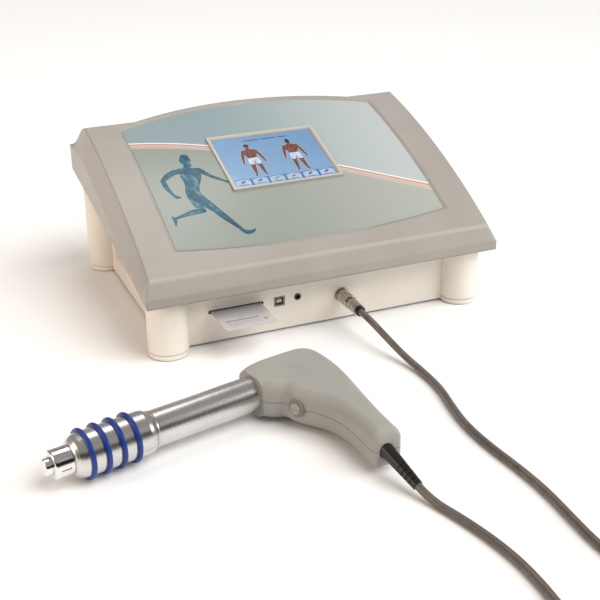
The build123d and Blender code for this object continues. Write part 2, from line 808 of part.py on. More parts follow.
# ---- applicator ----
hand = Plane(
    origin=(hand_x, hand_y, hand_z),
    x_dir=(math.cos(math.radians(hand_heading)), math.sin(math.radians(hand_heading)), 0),
    z_dir=(0, 0, 1),
)


def in_hand(shape):
    return hand.location * shape


def barrel_bar(start, end, radius):
    """Cylinder on the barrel's axis, measured forward from the grip."""
    return Pos(-(start + end) / 2, 0, 0) * Rot(0, 90, 0) * Cylinder(radius, abs(end - start))


def turned(points):
    """Solid turned on the barrel's axis from (distance forward, radius) points."""
    outline = Polyline(*[(-forward, radius) for forward, radius in points], close=True)
    return revolve(Plane.XY * make_face(outline), axis=Axis.X)


def moved_inward(points, inset):
    """The same curve shifted sideways, to the right of its path as drawn here."""
    moved = []
    for index, (along, across) in enumerate(points):
        before = points[max(index - 1, 0)]
        after = points[min(index + 1, len(points) - 1)]
        run = math.hypot(after[0] - before[0], after[1] - before[1])
        moved.append((
            along - inset * (after[1] - before[1]) / run,
            across + inset * (after[0] - before[0]) / run,
        ))
    return moved


def flipped(points):
    return [(along, -across) for along, across in points]


def grip_face(inset):
    """Side view of the pistol grip: u runs rearward, v towards the trigger."""
    back = moved_inward([
        (-grip_front, -18.8), (8, -23.2), (25, -25.3), (50, -25), (67, -22.0), (75.5, -13), (77.5, 0),
        (75.5, 26), (68.5, 56), (57.5, 95), (49.5, 128), (45.5, 149),
    ], inset)
    front = moved_inward([
        (20.5, 144.5), (22.5, 128), (26.5, 106), (27.5, 88), (24.5, 70), (19, 57), (14.2, 47), (12, 38),
        (11.5, 30.5),
    ], inset)
    chin = moved_inward([(11.5, 30.5), (5.0, 27.6), (-grip_front, 18.8)], inset)
    back[0] = (-grip_front, back[0][1])
    back[-1] = (back[-1][0], back[-1][1] - inset)
    front[0] = (front[0][0], front[0][1] - inset)
    chin[0] = front[-1]
    chin[-1] = (-grip_front, chin[-1][1])
    back, front, chin = flipped(back), flipped(front), flipped(chin)
    edges = Spline(*back)
    edges += Line(back[-1], front[0])
    edges += Spline(*front)
    edges += Spline(*chin)
    edges += Line(chin[-1], back[0])
    face = make_face(edges)
    corners = [vertex for vertex in face.vertices() if vertex.X > 0]
    return fillet(corners, grip_corner - inset / 2)


def half_grip(inset):
    """Upper half of the grip as a solid block with a rounded rim."""
    block = extrude(grip_face(inset), amount=grip_thickness / 2 - inset)
    rim = block.edges().group_by(Axis.Z)[-1]
    collar_x = block.bounding_box().min.X + 0.5
    round_edges = [edge for edge in rim if edge.bounding_box().max.X > collar_x]
    return fillet(round_edges, grip_round - inset)


def button_axis():
    """Plane on the trigger button's face, its Z pointing out at the finger."""
    lean = math.radians(button_tilt)
    return Plane(
        origin=(button_u, -button_v, 0),
        x_dir=(0, 0, 1),
        z_dir=(-math.cos(lean), -math.sin(lean), 0),
    )


def button_bar(low, high, radius):
    return button_axis().location * (Pos(0, 0, (low + high) / 2) * Cylinder(radius, high - low))


def boot_axis():
    """Plane at the middle of the butt, its Z pointing out along the lead."""
    droop = math.radians(boot_tilt)
    return Plane(origin=(boot_u, -boot_v, 0), x_dir=(1, 0, 0), z_dir=(0, -math.cos(droop), -math.sin(droop)))


def make_grip():
    """Two half shells that meet along the handpiece's middle."""
    barrel_end = box_between(-grip_front - 1, barrel_seat, -button_v, button_v, -1, grip_thickness)
    shell = half_grip(0.0) - (half_grip(grip_wall) - barrel_end)
    shell -= barrel_bar(-barrel_seat, grip_front + 5, barrel_radius)
    shell -= button_bar(-button_ring_height - 6, 12, button_ring_radius)
    shell -= boot_axis().location * Cylinder(boot_root_radius, 24)
    flange_slot = Pos(0, 0, -boot_inside - 1.5) * Cylinder(boot_flange_radius + boot_gap, 3 + 2 * boot_gap)
    shell -= boot_axis().location * flange_slot
    save("grip_shell_upper", in_hand(shell))
    save("grip_shell_lower", in_hand(mirror(shell, about=Plane.XY)))


def make_trigger():
    top = button_ring_proud
    ring = button_bar(top - button_ring_height, top, button_ring_radius)
    ring -= button_bar(top - button_ring_height - 1, top + 1, button_radius + button_gap)
    save("button_ring", in_hand(ring))
    stem_low = top - button_ring_height - button_travel - 0.4
    cap = button_bar(stem_low, button_proud, button_radius)
    cap = fillet(cap.edges().filter_by(GeomType.CIRCLE).sort_by(Axis.X)[0], 1.0)
    cap += button_bar(stem_low, top - button_ring_height - 0.2, button_radius + 1.2)
    save("trigger_button", in_hand(cap))
    switch_top = stem_low - button_travel - 0.2
    switch = button_axis().location * (Pos(0, 0, switch_top - 3) * Box(14, 12, 6))
    save("trigger_switch", in_hand(switch))


def make_barrel():
    tube = barrel_bar(-barrel_seat, barrel_length, barrel_radius)
    tube -= barrel_bar(-barrel_seat - 1, barrel_length + 1, barrel_radius - barrel_wall)
    save("barrel_tube", in_hand(tube))
    shoulder = sleeve_start + sleeve_shoulder
    nose = sleeve_end - nose_length
    outline = [
        (sleeve_start, barrel_radius), (sleeve_start, barrel_radius + 0.5),
        (sleeve_start + 3, barrel_radius + 0.9), (shoulder - 3, sleeve_radius - 0.5),
        (shoulder, sleeve_radius), (nose, sleeve_radius), (nose + 3.5, sleeve_radius - 0.8),
        (nose + 6.5, sleeve_radius - 2.3), (nose + 8.8, sleeve_radius - 4.2), (sleeve_end, nut_radius + 0.8),
        (sleeve_end, nut_thread_radius),
        (sleeve_end + nut_thread_length, nut_thread_radius),
        (sleeve_end + nut_thread_length, tip_body_radius + tip_gap),
        (guide_end, tip_body_radius + tip_gap), (guide_end, sleeve_radius - sleeve_wall),
        (barrel_length, sleeve_radius - sleeve_wall), (barrel_length, barrel_radius),
    ]
    sleeve = turned(outline)
    for number in range(ring_count):
        sleeve -= damping_ring(number)
    save("front_sleeve", in_hand(sleeve))
    for number in range(ring_count):
        save(f"damping_ring_{number + 1}", in_hand(damping_ring(number)))


def damping_ring(number):
    forward = ring_first + number * ring_pitch
    section = Pos(-forward, ring_outer - ring_section / 2) * Circle(ring_section / 2)
    return revolve(Plane.XY * section, axis=Axis.X)


def make_nose():
    """Transmitter tip, its retaining nut and the washer under the nut."""
    thread_end = sleeve_end + nut_thread_length
    washer = barrel_bar(sleeve_end, sleeve_end + washer_thickness, nut_radius - 0.4)
    washer -= barrel_bar(sleeve_end - 1, thread_end, nut_thread_radius + nut_thread_gap)
    save("nut_washer", in_hand(washer))
    start = sleeve_end + washer_thickness
    nut = barrel_bar(start, nut_front, nut_radius)
    nut = fillet(nut.edges().filter_by(GeomType.CIRCLE).sort_by(Axis.X)[0], 2.0)
    flute_mid = (start + nut_front) / 2 - 1
    flute_length = nut_front - start - 7
    for number in range(nut_flutes):
        groove = Pos(-flute_mid, 0, nut_radius + 0.4) * Box(flute_length, 2.6, 2.6)
        nut -= Rot(360 / nut_flutes * number, 0, 0) * groove
    nut -= barrel_bar(start - 1, nut_front - nut_lip, nut_thread_radius + nut_thread_gap)
    nut -= barrel_bar(start, nut_front + 1, tip_radius + 0.3)
    save("retaining_nut", in_hand(nut))
    flange_front = nut_front - nut_lip - tip_travel - 0.3
    flange_rear = thread_end + tip_cushion
    tip = barrel_bar(flange_front - 2.5, tip_front, tip_radius)
    tip = fillet(tip.edges().filter_by(GeomType.CIRCLE).sort_by(Axis.X)[0], 0.8)
    tip += barrel_bar(flange_rear, flange_front, tip_flange_radius)
    tip += barrel_bar(guide_end + guide_gap, flange_rear, tip_body_radius)
    save("transmitter_tip", in_hand(tip))
    cushion = barrel_bar(thread_end, flange_rear, tip_flange_radius)
    cushion -= barrel_bar(thread_end - 1, flange_rear + 1, tip_body_radius + 0.4)
    save("tip_cushion", in_hand(cushion))


def make_drive():
    """Striker, its guide tube and the two coils that throw it."""
    tube = barrel_bar(guide_start, guide_end, guide_outer)
    tube -= barrel_bar(guide_start + guide_plug, guide_end + 1, guide_inner)
    save("guide_tube", in_hand(tube))
    striker_start = guide_start + guide_plug + striker_rest
    rod = barrel_bar(striker_start, striker_start + striker_length, guide_inner - striker_gap)
    save("striker", in_hand(rod))
    windings = []
    for start, length in ((drive_coil_start, drive_coil_length), (return_coil_start, return_coil_length)):
        winding = barrel_bar(start, start + length, coil_outer)
        winding -= barrel_bar(start - 1, start + length + 1, guide_outer)
        windings.append(in_hand(winding))
    save("drive_coils", Compound([solid for winding in windings for solid in winding.solids()]))
    block = barrel_bar(guide_start - rear_block_length, guide_start, barrel_radius - barrel_wall)
    save("rear_block", in_hand(block))


def make_boot():
    """Strain relief that the lead leaves the butt through."""
    cone = Pos(0, 0, boot_length / 2) * Cone(boot_root_radius, boot_end_radius, boot_length)
    inside = Pos(0, 0, -boot_inside / 2) * Cylinder(boot_root_radius, boot_inside)
    flange = Pos(0, 0, -boot_inside - 1.5) * Cylinder(boot_flange_radius, 3)
    boot = cone + inside + flange
    for number in range(4):
        groove = Pos(0, 0, boot_length - 5 - 5 * number)
        groove *= Cylinder(boot_root_radius, 1.6) - Cylinder(boot_end_radius - 0.5 + 0.225 * number, 1.6)
        boot -= groove
    save("strain_relief", in_hand(boot_axis().location * boot))


# ---- lead ----
def lead_tube(points):
    """Tube of straight runs joined by arcs as large as the runs allow."""
    radii = []
    for before, point, after in zip(points, points[1:], points[2:]):
        into = Vector(*point) - Vector(*before)
        out = Vector(*after) - Vector(*point)
        turn = math.radians(into.get_angle(out))
        radii.append(0.45 * min(into.length, out.length) / math.tan(turn / 2))
    print("lead radii", [round(radius) for radius in radii])
    path = FilletPolyline(*points, radius=radii)
    section = Plane(origin=path @ 0, z_dir=path % 0) * Circle(lead_diameter / 2)
    tube = sweep(section, path=path)
    expected = math.pi * (lead_diameter / 2) ** 2 * path.length
    print("lead length", round(path.length, 1), "volume ratio", round(tube.volume / expected, 5))
    return tube


def make_lead(plug_rear):
    lie = lead_diameter / 2 + 0.1
    console_run = [
        (lead_x, plug_rear, lead_z),
        (lead_x + 0.8, plug_rear - 17, lead_z - 0.6),
        (32.5, -214, 18),
        (39.5, -240, 7.5),
        (44.2, -272, lie),
        (43.6, -306, lie),
        (37.0, -338, lie),
        (31.6, -372, lie),
        (32.0, -410, lie),
        (36.2, -450, lie),
        (38.2, -488, lie),
        (35.6, -527, lie),
        (33.5, -566, lie),
        (37.5, -606, lie),
        (44.5, -648, lie),
        (coil_x + coil_radius, coil_y, lie + 3),
    ]
    save("lead_console_run", lead_tube(console_run))
    boot_end = (hand.location * boot_axis().location * Pos(0, 0, boot_length)).position
    heading = (hand.location * boot_axis().location * Pos(0, 0, boot_length + 1)).position - boot_end
    touch = boot_end + heading * ((boot_end.Z - lie) / -heading.Z)
    hand_run = [
        (boot_end.X, boot_end.Y, boot_end.Z),
        (touch.X, touch.Y, touch.Z),
        (-42.5, -492, lie),
        (-34.5, -524, lie),
        (-29.5, -560, lie),
        (-29.0, -602, lie),
        (-33.0, -646, lie),
        (coil_x - coil_radius, coil_y, lie + 6),
    ]
    save("lead_hand_run", lead_tube(hand_run))


def make_coil():
    ring = Cylinder(coil_radius + coil_band, coil_height) - Cylinder(coil_radius - coil_band, coil_height)
    ring = Pos(coil_x, coil_y, tie_thickness + coil_height / 2) * ring
    save("lead_coil", ring)
    outer = Box(tie_width, 2 * coil_band + 2 * tie_thickness, coil_height + 2 * tie_thickness)
    inner = Box(tie_width + 2, 2 * coil_band, coil_height)
    place = Pos(coil_x, coil_y - coil_radius, tie_thickness + coil_height / 2)
    save("coil_tie", place * (outer - inner))


def main():
    make_lid()
    make_screen()
    make_case()
    make_posts()
    make_card()
    make_sockets()
    plug_rear = make_plug()
    make_inlet()
    make_rocker()
    make_fan()
    make_electronics()
    make_grip()
    make_trigger()
    make_barrel()
    make_nose()
    make_drive()
    make_boot()
    make_lead(plug_rear - plug_grommet_length)
    make_coil()


main()
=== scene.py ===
import math
import bpy
import bmesh
from mathutils import Matrix, Vector


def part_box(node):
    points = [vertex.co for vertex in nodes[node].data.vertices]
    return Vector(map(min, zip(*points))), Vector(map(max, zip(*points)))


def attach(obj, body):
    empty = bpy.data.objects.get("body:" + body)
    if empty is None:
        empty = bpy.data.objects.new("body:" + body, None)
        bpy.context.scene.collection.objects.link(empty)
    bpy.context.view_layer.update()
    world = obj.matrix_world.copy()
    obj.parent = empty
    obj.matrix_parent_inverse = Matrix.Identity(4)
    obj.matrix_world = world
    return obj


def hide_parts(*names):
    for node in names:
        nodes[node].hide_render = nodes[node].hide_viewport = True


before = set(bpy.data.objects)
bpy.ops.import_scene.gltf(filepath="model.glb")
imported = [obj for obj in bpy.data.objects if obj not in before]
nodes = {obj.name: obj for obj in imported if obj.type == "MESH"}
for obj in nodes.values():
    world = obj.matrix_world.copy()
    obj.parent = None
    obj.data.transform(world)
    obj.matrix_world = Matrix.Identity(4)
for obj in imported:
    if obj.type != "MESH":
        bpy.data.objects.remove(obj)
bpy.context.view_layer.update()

# Physiotherapy console with a pistol-grip applicator: studio, lead, prints and finishes.
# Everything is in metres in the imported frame: X right, Y to the back, Z up.

mm = 0.001

# what stands around the object
studio = {
    "cameraPlace": (-0.43015, -1.12749, 0.52015),
    "cameraTurn": -22.15,
    "cameraDown": 24.31,
    "cameraRoll": -0.90,
    "lens": 69.11,
    "skyColour": (1.0, 0.965, 0.92, 1.0),
    "skyStrength": 0.33,
    "floorHalf": 12.0,
    "floorColour": (0.93, 0.93, 0.925, 1.0),
}

# a broad even light from front right, and softer panels for the shine
broadLight = {"from": (0.42, -0.46, 0.78), "strength": 2.5, "spread": 50.0, "colour": (1.0, 0.985, 0.965)}
softLights = {
    # name: place, what it points at, side, watts, colour
    "warmSide": ((-1.6, -0.2, 0.7), (0.0, -0.05, 0.08), 0.8, 9.0, (1.0, 0.76, 0.58)),
    "fillLight": ((1.5, -0.9, 0.9), (0.0, -0.1, 0.08), 0.9, 7.0, (0.97, 0.985, 1.0)),
    "topLight": ((0.1, 0.7, 2.0), (0.0, 0.0, 0.1), 0.9, 7.0, (1.0, 1.0, 1.0)),
}

# a dark screen in front, out of sight, gives the metal its dark band
darkCard = {"y": -2.1, "low": 0.22, "high": 1.25, "halfWide": 2.6, "colour": (0.02, 0.019, 0.018, 1.0)}


def linkUp(piece):
    bpy.context.scene.collection.objects.link(piece)
    return piece


def makeCamera():
    turn = math.radians(studio["cameraTurn"])
    down = math.radians(studio["cameraDown"])
    roll = math.radians(studio["cameraRoll"])
    ahead = Vector((-math.sin(turn) * math.cos(down), math.cos(turn) * math.cos(down), -math.sin(down)))
    level = Vector((math.cos(turn), math.sin(turn), 0.0))
    upright = level.cross(ahead)
    right = level * math.cos(roll) + upright * math.sin(roll)
    up = upright * math.cos(roll) - level * math.sin(roll)
    lens = bpy.data.cameras.new("studioCamera")
    lens.lens = studio["lens"]
    lens.clip_start = 0.05
    camera = linkUp(bpy.data.objects.new("studioCamera", lens))
    turned = Matrix((right, up, -ahead)).transposed().to_4x4()
    camera.matrix_world = Matrix.Translation(studio["cameraPlace"]) @ turned
    bpy.context.scene.camera = camera


makeCamera()
print("camera set")


def route(points):
    return [Vector(point) * mm for point in points]


lieHeight = 3.6
lead = {
    "thickness": 7.0 * mm,
    "length": 1.89,
    "exit": (25.4 * mm, -171.3 * mm, 28.4 * mm),
    "coilCentre": (6.0, -692.0),
    "coilFirst": 48.0,        # radius of the first turn, in mm
    "coilStep": 7.35,         # from one turn to the next
    "turnPoints": 16,
    "lowLayer": 4.4,
    "highLayer": 11.7,
}

consoleRun = route([
    (25.4, -171.3, 28.4), (26.2, -188.3, 27.8), (32.5, -214, 18), (39.5, -240, 7.5), (44.2, -272, lieHeight),
    (43.6, -306, lieHeight), (37.0, -338, lieHeight), (31.6, -372, lieHeight), (32.0, -410, lieHeight),
    (36.2, -450, lieHeight), (38.2, -488, lieHeight), (35.6, -527, lieHeight), (33.5, -566, lieHeight),
    (38.5, -606, lieHeight), (49.0, -648, 4.0),
])
handRun = route([
    (-41.5, -664, 10.0), (-38.0, -646, 6.0), (-30.5, -602, lieHeight), (-29.5, -560, lieHeight),
    (-34.5, -524, lieHeight), (-42.5, -492, lieHeight), (-51.6, -463.6, lieHeight), (-55.51, -448.53, 9.32),
])


def coilTurns():
    # two turns inward on the table, a climb, then two turns outward on top of them
    points = []
    perTurn = lead["turnPoints"]
    turns = 4.45
    climbStart, climbEnd = 2.0, 2.3
    inner = lead["coilFirst"] - 2 * lead["coilStep"]
    for step in range(int(turns * perTurn) + 1):
        done = step / perTurn
        if done <= climbStart:
            radius = lead["coilFirst"] - lead["coilStep"] * done
            height = lead["lowLayer"]
        elif done < climbEnd:
            radius = inner
            share = (done - climbStart) / (climbEnd - climbStart)
            height = lead["lowLayer"] + (lead["highLayer"] - lead["lowLayer"]) * share
        else:
            radius = inner + lead["coilStep"] * (done - climbEnd)
            height = lead["highLayer"]
        angle = -2 * math.pi * done
        points.append(Vector((
            (lead["coilCentre"][0] + radius * math.cos(angle)) * mm,
            (lead["coilCentre"][1] + radius * math.sin(angle)) * mm,
            height * mm,
        )))
    return points


def makeLead():
    line = bpy.data.curves.new("applicatorLead", "CURVE")
    line.dimensions = "3D"
    line.bevel_depth = 1.0        # each point's radius sets the thickness
    line.bevel_resolution = 5
    line.use_fill_caps = True
    points = consoleRun + coilTurns() + handRun
    spline = line.splines.new("NURBS")
    spline.points.add(len(points) - 1)
    for point, place in zip(spline.points, points):
        point.co = (*place, 1.0)
        point.radius = lead["thickness"] / 2
    spline.order_u = 3
    spline.use_endpoint_u = True
    spline.resolution_u = 8
    piece = linkUp(bpy.data.objects.new("applicatorLead", line))
    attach(piece, "device")
    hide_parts("lead_console_run", "lead_hand_run", "lead_coil")
    return piece


def smoothMesh(name, corners, faces, body="device", smooth=True):
    mesh = bpy.data.meshes.new(name)
    mesh.from_pydata([tuple(corner) for corner in corners], [], faces)
    mesh.update()
    for face in mesh.polygons:
        face.use_smooth = smooth
    piece = linkUp(bpy.data.objects.new(name, mesh))
    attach(piece, body)
    return piece


tieBand = {
    "halfWidth": 6.0 * mm, "halfAcross": 11.0 * mm, "wall": 0.8 * mm,
    "inLow": 0.9 * mm, "inHigh": 15.6 * mm, "corner": 3.0 * mm,
    "fromCoilCentre": 40.5,        # in mm, toward the front
}


def roundedLoop(halfAcross, low, high, corner, sides=6):
    # closed outline of a rounded rectangle in (across, height)
    outline = []
    middles = (
        (halfAcross - corner, high - corner, 0.0), (-halfAcross + corner, high - corner, 90.0),
        (-halfAcross + corner, low + corner, 180.0), (halfAcross - corner, low + corner, 270.0),
    )
    for across, height, start in middles:
        for step in range(sides + 1):
            angle = math.radians(start + 90.0 * step / sides)
            outline.append((across + corner * math.cos(angle), height + corner * math.sin(angle)))
    return outline


def makeTie():
    # fabric strap round the coil
    centreX = lead["coilCentre"][0] * mm
    centreY = (lead["coilCentre"][1] - tieBand["fromCoilCentre"]) * mm
    wall = tieBand["wall"]
    inner = roundedLoop(tieBand["halfAcross"], tieBand["inLow"], tieBand["inHigh"], tieBand["corner"])
    outer = roundedLoop(tieBand["halfAcross"] + wall, tieBand["inLow"] - wall, tieBand["inHigh"] + wall,
                        tieBand["corner"] + wall)
    corners = []
    columns = (-1.0, -0.96, 0.96, 1.0)
    for loop in (inner, outer):
        for side in columns:
            for across, height in loop:
                corners.append((centreX + side * tieBand["halfWidth"], centreY + across, height))
    count = len(inner)
    faces = []
    for sheet in (0, 1):
        base = sheet * len(columns) * count
        for column in range(len(columns) - 1):
            for step in range(count):
                after = (step + 1) % count
                ring = base + column * count
                face = (ring + step, ring + after, ring + count + after, ring + count + step)
                faces.append(face if sheet else face[::-1])
    for column in (0, len(columns) - 1):
        for step in range(count):
            after = (step + 1) % count
            low = column * count
            high = (len(columns) + column) * count
            face = (low + step, low + after, high + after, high + step)
            faces.append(face if column == 0 else face[::-1])
    piece = smoothMesh("coilStrap", corners, faces)
    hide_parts("coil_tie")
    return piece


leadPiece = makeLead()
strapPiece = makeTie()
print("lead laid")


def makeStudio():
    half = studio["floorHalf"]
    mesh = bpy.data.meshes.new("studioFloor")
    corners = [(-half, -half, 0), (half, -half, 0), (half, half, 0), (-half, half, 0)]
    mesh.from_pydata(corners, [], [(0, 1, 2, 3)])
    floor = linkUp(bpy.data.objects.new("studioFloor", mesh))
    wide, near = darkCard["halfWide"], darkCard["y"]
    mesh = bpy.data.meshes.new("darkCard")
    corners = [(x, near, z) for z in (darkCard["low"], darkCard["high"]) for x in (-wide, wide)]
    mesh.from_pydata(corners, [], [(0, 2, 3, 1)])
    card = linkUp(bpy.data.objects.new("darkCard", mesh))
    card.visible_camera = card.visible_diffuse = card.visible_shadow = False
    sky = bpy.data.worlds.new("studioSky")
    sky.use_nodes = True
    backdrop = sky.node_tree.nodes["Background"]
    backdrop.inputs["Color"].default_value = studio["skyColour"]
    backdrop.inputs["Strength"].default_value = studio["skyStrength"]
    bpy.context.scene.world = sky
    bpy.context.scene.view_settings.view_transform = "Standard"
    sun = bpy.data.lights.new("broadLight", "SUN")
    sun.energy = broadLight["strength"]
    sun.angle = math.radians(broadLight["spread"])
    sun.color = broadLight["colour"]
    lamp = linkUp(bpy.data.objects.new("broadLight", sun))
    lamp.visible_glossy = False        # the panels alone shine on the metal
    lamp.rotation_euler = (-Vector(broadLight["from"])).to_track_quat("-Z", "Y").to_euler()
    for name, (place, target, side, watts, colour) in softLights.items():
        lamp = bpy.data.lights.new(name, "AREA")
        lamp.size = side
        lamp.energy = watts
        lamp.color = colour
        piece = linkUp(bpy.data.objects.new(name, lamp))
        piece.location = place
        piece.rotation_euler = (Vector(target) - Vector(place)).to_track_quat("-Z", "Y").to_euler()
    return floor, card


floorPiece, cardPiece = makeStudio()
print("studio lit")


class Wire:
    # one output socket that can be reckoned with like a number
    def __init__(self, finish, socket):
        self.finish = finish
        self.socket = socket

    def __add__(self, other):
        return self.finish.maths("ADD", self, other)

    def __radd__(self, other):
        return self.finish.maths("ADD", other, self)

    def __sub__(self, other):
        return self.finish.maths("SUBTRACT", self, other)

    def __rsub__(self, other):
        return self.finish.maths("SUBTRACT", other, self)

    def __mul__(self, other):
        return self.finish.maths("MULTIPLY", self, other)

    def __rmul__(self, other):
        return self.finish.maths("MULTIPLY", other, self)

    def __truediv__(self, other):
        return self.finish.maths("DIVIDE", self, other)


class Finish:
    def __init__(self, name):
        self.material = bpy.data.materials.new(name)
        self.material.use_nodes = True
        self.tree = self.material.node_tree
        self.tree.nodes.clear()

    def node(self, kind, settings=None, sockets=None, out=0):
        made = self.tree.nodes.new(kind)
        for key, value in (settings or {}).items():
            if key == "stops":
                self.setStops(made.color_ramp, value)
            else:
                setattr(made, key, value)
        for key, value in (sockets or {}).items():
            if isinstance(value, Wire):
                self.tree.links.new(value.socket, made.inputs[key])
            else:
                made.inputs[key].default_value = value
        return Wire(self, made.outputs[out]) if made.outputs else None

    def setStops(self, ramp, stops):
        while len(ramp.elements) < len(stops):
            ramp.elements.new(1.0)
        for element, (place, colour) in zip(ramp.elements, stops):
            element.position = place
            element.color = (*colour, 1.0)

    def maths(self, operation, *values):
        return self.node("ShaderNodeMath", {"operation": operation}, dict(enumerate(values)))

    def place(self):
        return self.node("ShaderNodeTexCoord", out=3)

    def axes(self, place):
        split = self.node("ShaderNodeSeparateXYZ", sockets={0: place})
        outputs = split.socket.node.outputs
        return [Wire(self, outputs[number]) for number in range(3)]

    def along(self, direction, start):
        # distance from start, measured along direction
        moved = self.node("ShaderNodeVectorMath", {"operation": "SUBTRACT"}, {0: self.place(), 1: start})
        return self.node("ShaderNodeVectorMath", {"operation": "DOT_PRODUCT"},
                         {0: moved, 1: direction}, out=1)

    def noise(self, scale, detail=2.0, stretch=None):
        at = self.place()
        if stretch:
            at = self.node("ShaderNodeVectorMath", {"operation": "MULTIPLY"}, {0: at, 1: stretch})
        return self.node("ShaderNodeTexNoise", sockets={"Vector": at, "Scale": scale, "Detail": detail})

    def ease(self, value, low, high):
        return self.node("ShaderNodeMapRange", {"interpolation_type": "SMOOTHSTEP"},
                         {0: value, 1: low, 2: high, 3: 0.0, 4: 1.0})

    def inside(self, value, low, high, edge):
        # 1 between low and high, falling to 0 over edge on both sides
        return self.ease(value, low - edge, low) * (1.0 - self.ease(value, high, high + edge))

    def blend(self, share, first, second):
        return self.node("ShaderNodeMix", {"data_type": "RGBA"}, {0: share, 6: first, 7: second}, out=2)

    def bump(self, height, depth, softEdge=0.0):
        sockets = {"Height": height, "Distance": depth, "Strength": 1.0}
        if softEdge:
            sockets["Normal"] = self.node("ShaderNodeBevel", {"samples": 4}, {"Radius": softEdge})
        return self.node("ShaderNodeBump", sockets=sockets)

    def shade(self, **values):
        sockets = {name.replace("_", " "): value for name, value in values.items()}
        shader = self.node("ShaderNodeBsdfPrincipled", sockets=sockets)
        self.node("ShaderNodeOutputMaterial", sockets={0: shader})
        return self.material


def tint(colour, factor):
    return (colour[0] * factor, colour[1] * factor, colour[2] * factor, 1.0)


mouldings = {
    # name: colour, roughness, grain per metre, grain depth, edge radius
    "lidPlastic": ((0.355, 0.33, 0.302), 0.36, 1500.0, 0.00003, 0.0026),
    "casePaint": ((0.84, 0.785, 0.705), 0.34, 900.0, 0.00003, 0.0012),
    "bezelPlastic": ((0.50, 0.465, 0.41), 0.32, 1500.0, 0.00002, 0.0008),
    "ringPlastic": ((0.20, 0.195, 0.18), 0.34, 1500.0, 0.00002, 0.0005),
    "blackMoulding": ((0.022, 0.022, 0.025), 0.38, 1600.0, 0.00002, 0.0005),
    "padRubber": ((0.03, 0.03, 0.03), 0.75, 700.0, 0.00006, 0.0004),
    "blueRubber": ((0.004, 0.030, 0.21), 0.36, 1200.0, 0.00002, 0.0),
    "bootRubber": ((0.007, 0.007, 0.007), 0.36, 1300.0, 0.00003, 0.0004),
}


# painted highlight along the lid's front crease: where it runs, its half width, its soft edge and how much
# paler it is
lidCreaseHighlight = {"y": -146.2 * mm, "half": 0.7 * mm, "edge": 1.4 * mm, "highlightGain": 1.22}


def mouldedFinish(name):
    # moulded plastic or rubber; the lid also has a painted highlight, a paler and smoother line along its
    # front crease
    colour, rough, grain, depth, edge = mouldings[name]
    finish = Finish(name)
    fine = finish.noise(grain, 3.0)
    broad = finish.noise(14.0, 2.0)
    shadeShare = finish.ease(broad, 0.35, 0.68)
    base = finish.blend(shadeShare, tint(colour, 0.965), tint(colour, 1.035))
    base = finish.blend(finish.ease(fine, 0.4, 0.75) * 0.12, base, tint(colour, 0.86))
    roughness = rough + 0.10 * (fine - 0.5) + 0.05 * (broad - 0.5)
    if name == "lidPlastic":
        back = finish.axes(finish.place())[1]
        half = lidCreaseHighlight["half"]
        # painted highlight: the lid colour is lifted along the front crease, where the rounded edge catches
        # the light
        creaseHighlight = finish.inside(back - lidCreaseHighlight["y"], -half, half, lidCreaseHighlight["edge"])
        base = finish.blend(creaseHighlight * 0.9, base, tint(colour, lidCreaseHighlight["highlightGain"]))
        roughness = roughness - creaseHighlight * 0.08
    return finish.shade(Base_Color=base, Roughness=roughness, Normal=finish.bump(fine, depth, edge))


handle = {
    "seat": (-0.1295, -0.2766, 0.023),                   # where the barrel's axis starts
    "heading": math.radians(13.75),
}
rearward = Vector((math.cos(handle["heading"]), math.sin(handle["heading"]), 0.0))

metals = {
    # name: colour, roughness, lathe lines per metre, streak share, line depth
    "turnedAlloy": ((0.72, 0.71, 0.70), 0.27, 2600.0, 0.3, 0.000003),
    "groundSteel": ((0.62, 0.62, 0.62), 0.24, 3200.0, 0.25, 0.000008),
    "brightChrome": ((0.84, 0.835, 0.83), 0.11, 1800.0, 0.2, 0.000004),
}


def turnedFinish(name):
    # lathe lines run round the axis, light handling streaks run along it
    colour, rough, lines, streak, depth = metals[name]
    finish = Finish(name)
    reach = finish.along(rearward, handle["seat"])
    lathe = finish.node("ShaderNodeTexNoise", {"noise_dimensions": "1D"},
                        {"W": reach, "Scale": lines, "Detail": 2.0})
    streaks = finish.noise(60.0, 4.0, (0.25, 1.0, 1.0))
    smudge = finish.noise(38.0, 3.0)
    base = finish.blend(finish.ease(streaks, 0.38, 0.66) * streak, tint(colour, 1.0), tint(colour, 0.72))
    roughness = rough + 0.08 * (lathe - 0.5) + 0.05 * (smudge - 0.5)
    return finish.shade(Base_Color=base, Metallic=1.0, Roughness=roughness,
                        Normal=finish.bump(lathe, depth, 0.0004))


def nickelFinish():
    finish = Finish("satinNickel")
    grain = finish.noise(900.0, 3.0)
    wear = finish.noise(160.0, 3.0)
    base = finish.blend(finish.ease(wear, 0.42, 0.7), (0.54, 0.505, 0.455, 1), (0.40, 0.37, 0.335, 1))
    return finish.shade(Base_Color=base, Metallic=1.0, Roughness=0.24 + 0.22 * (wear - 0.4),
                        Normal=finish.bump(grain, 0.000012, 0.0004))


def zincFinish():
    finish = Finish("zincSheet")
    spangle = finish.node("ShaderNodeTexVoronoi", sockets={"Vector": finish.place(), "Scale": 160.0}, out=0)
    base = finish.blend(spangle, (0.50, 0.50, 0.51, 1), (0.64, 0.64, 0.65, 1))
    return finish.shade(Base_Color=base, Metallic=1.0, Roughness=0.34 + 0.14 * spangle,
                        Normal=finish.bump(spangle, 0.00001, 0.0005))


gripPaint = {"light": (0.335, 0.328, 0.30), "seamHeight": 0.023, "seamHalf": 0.00022}


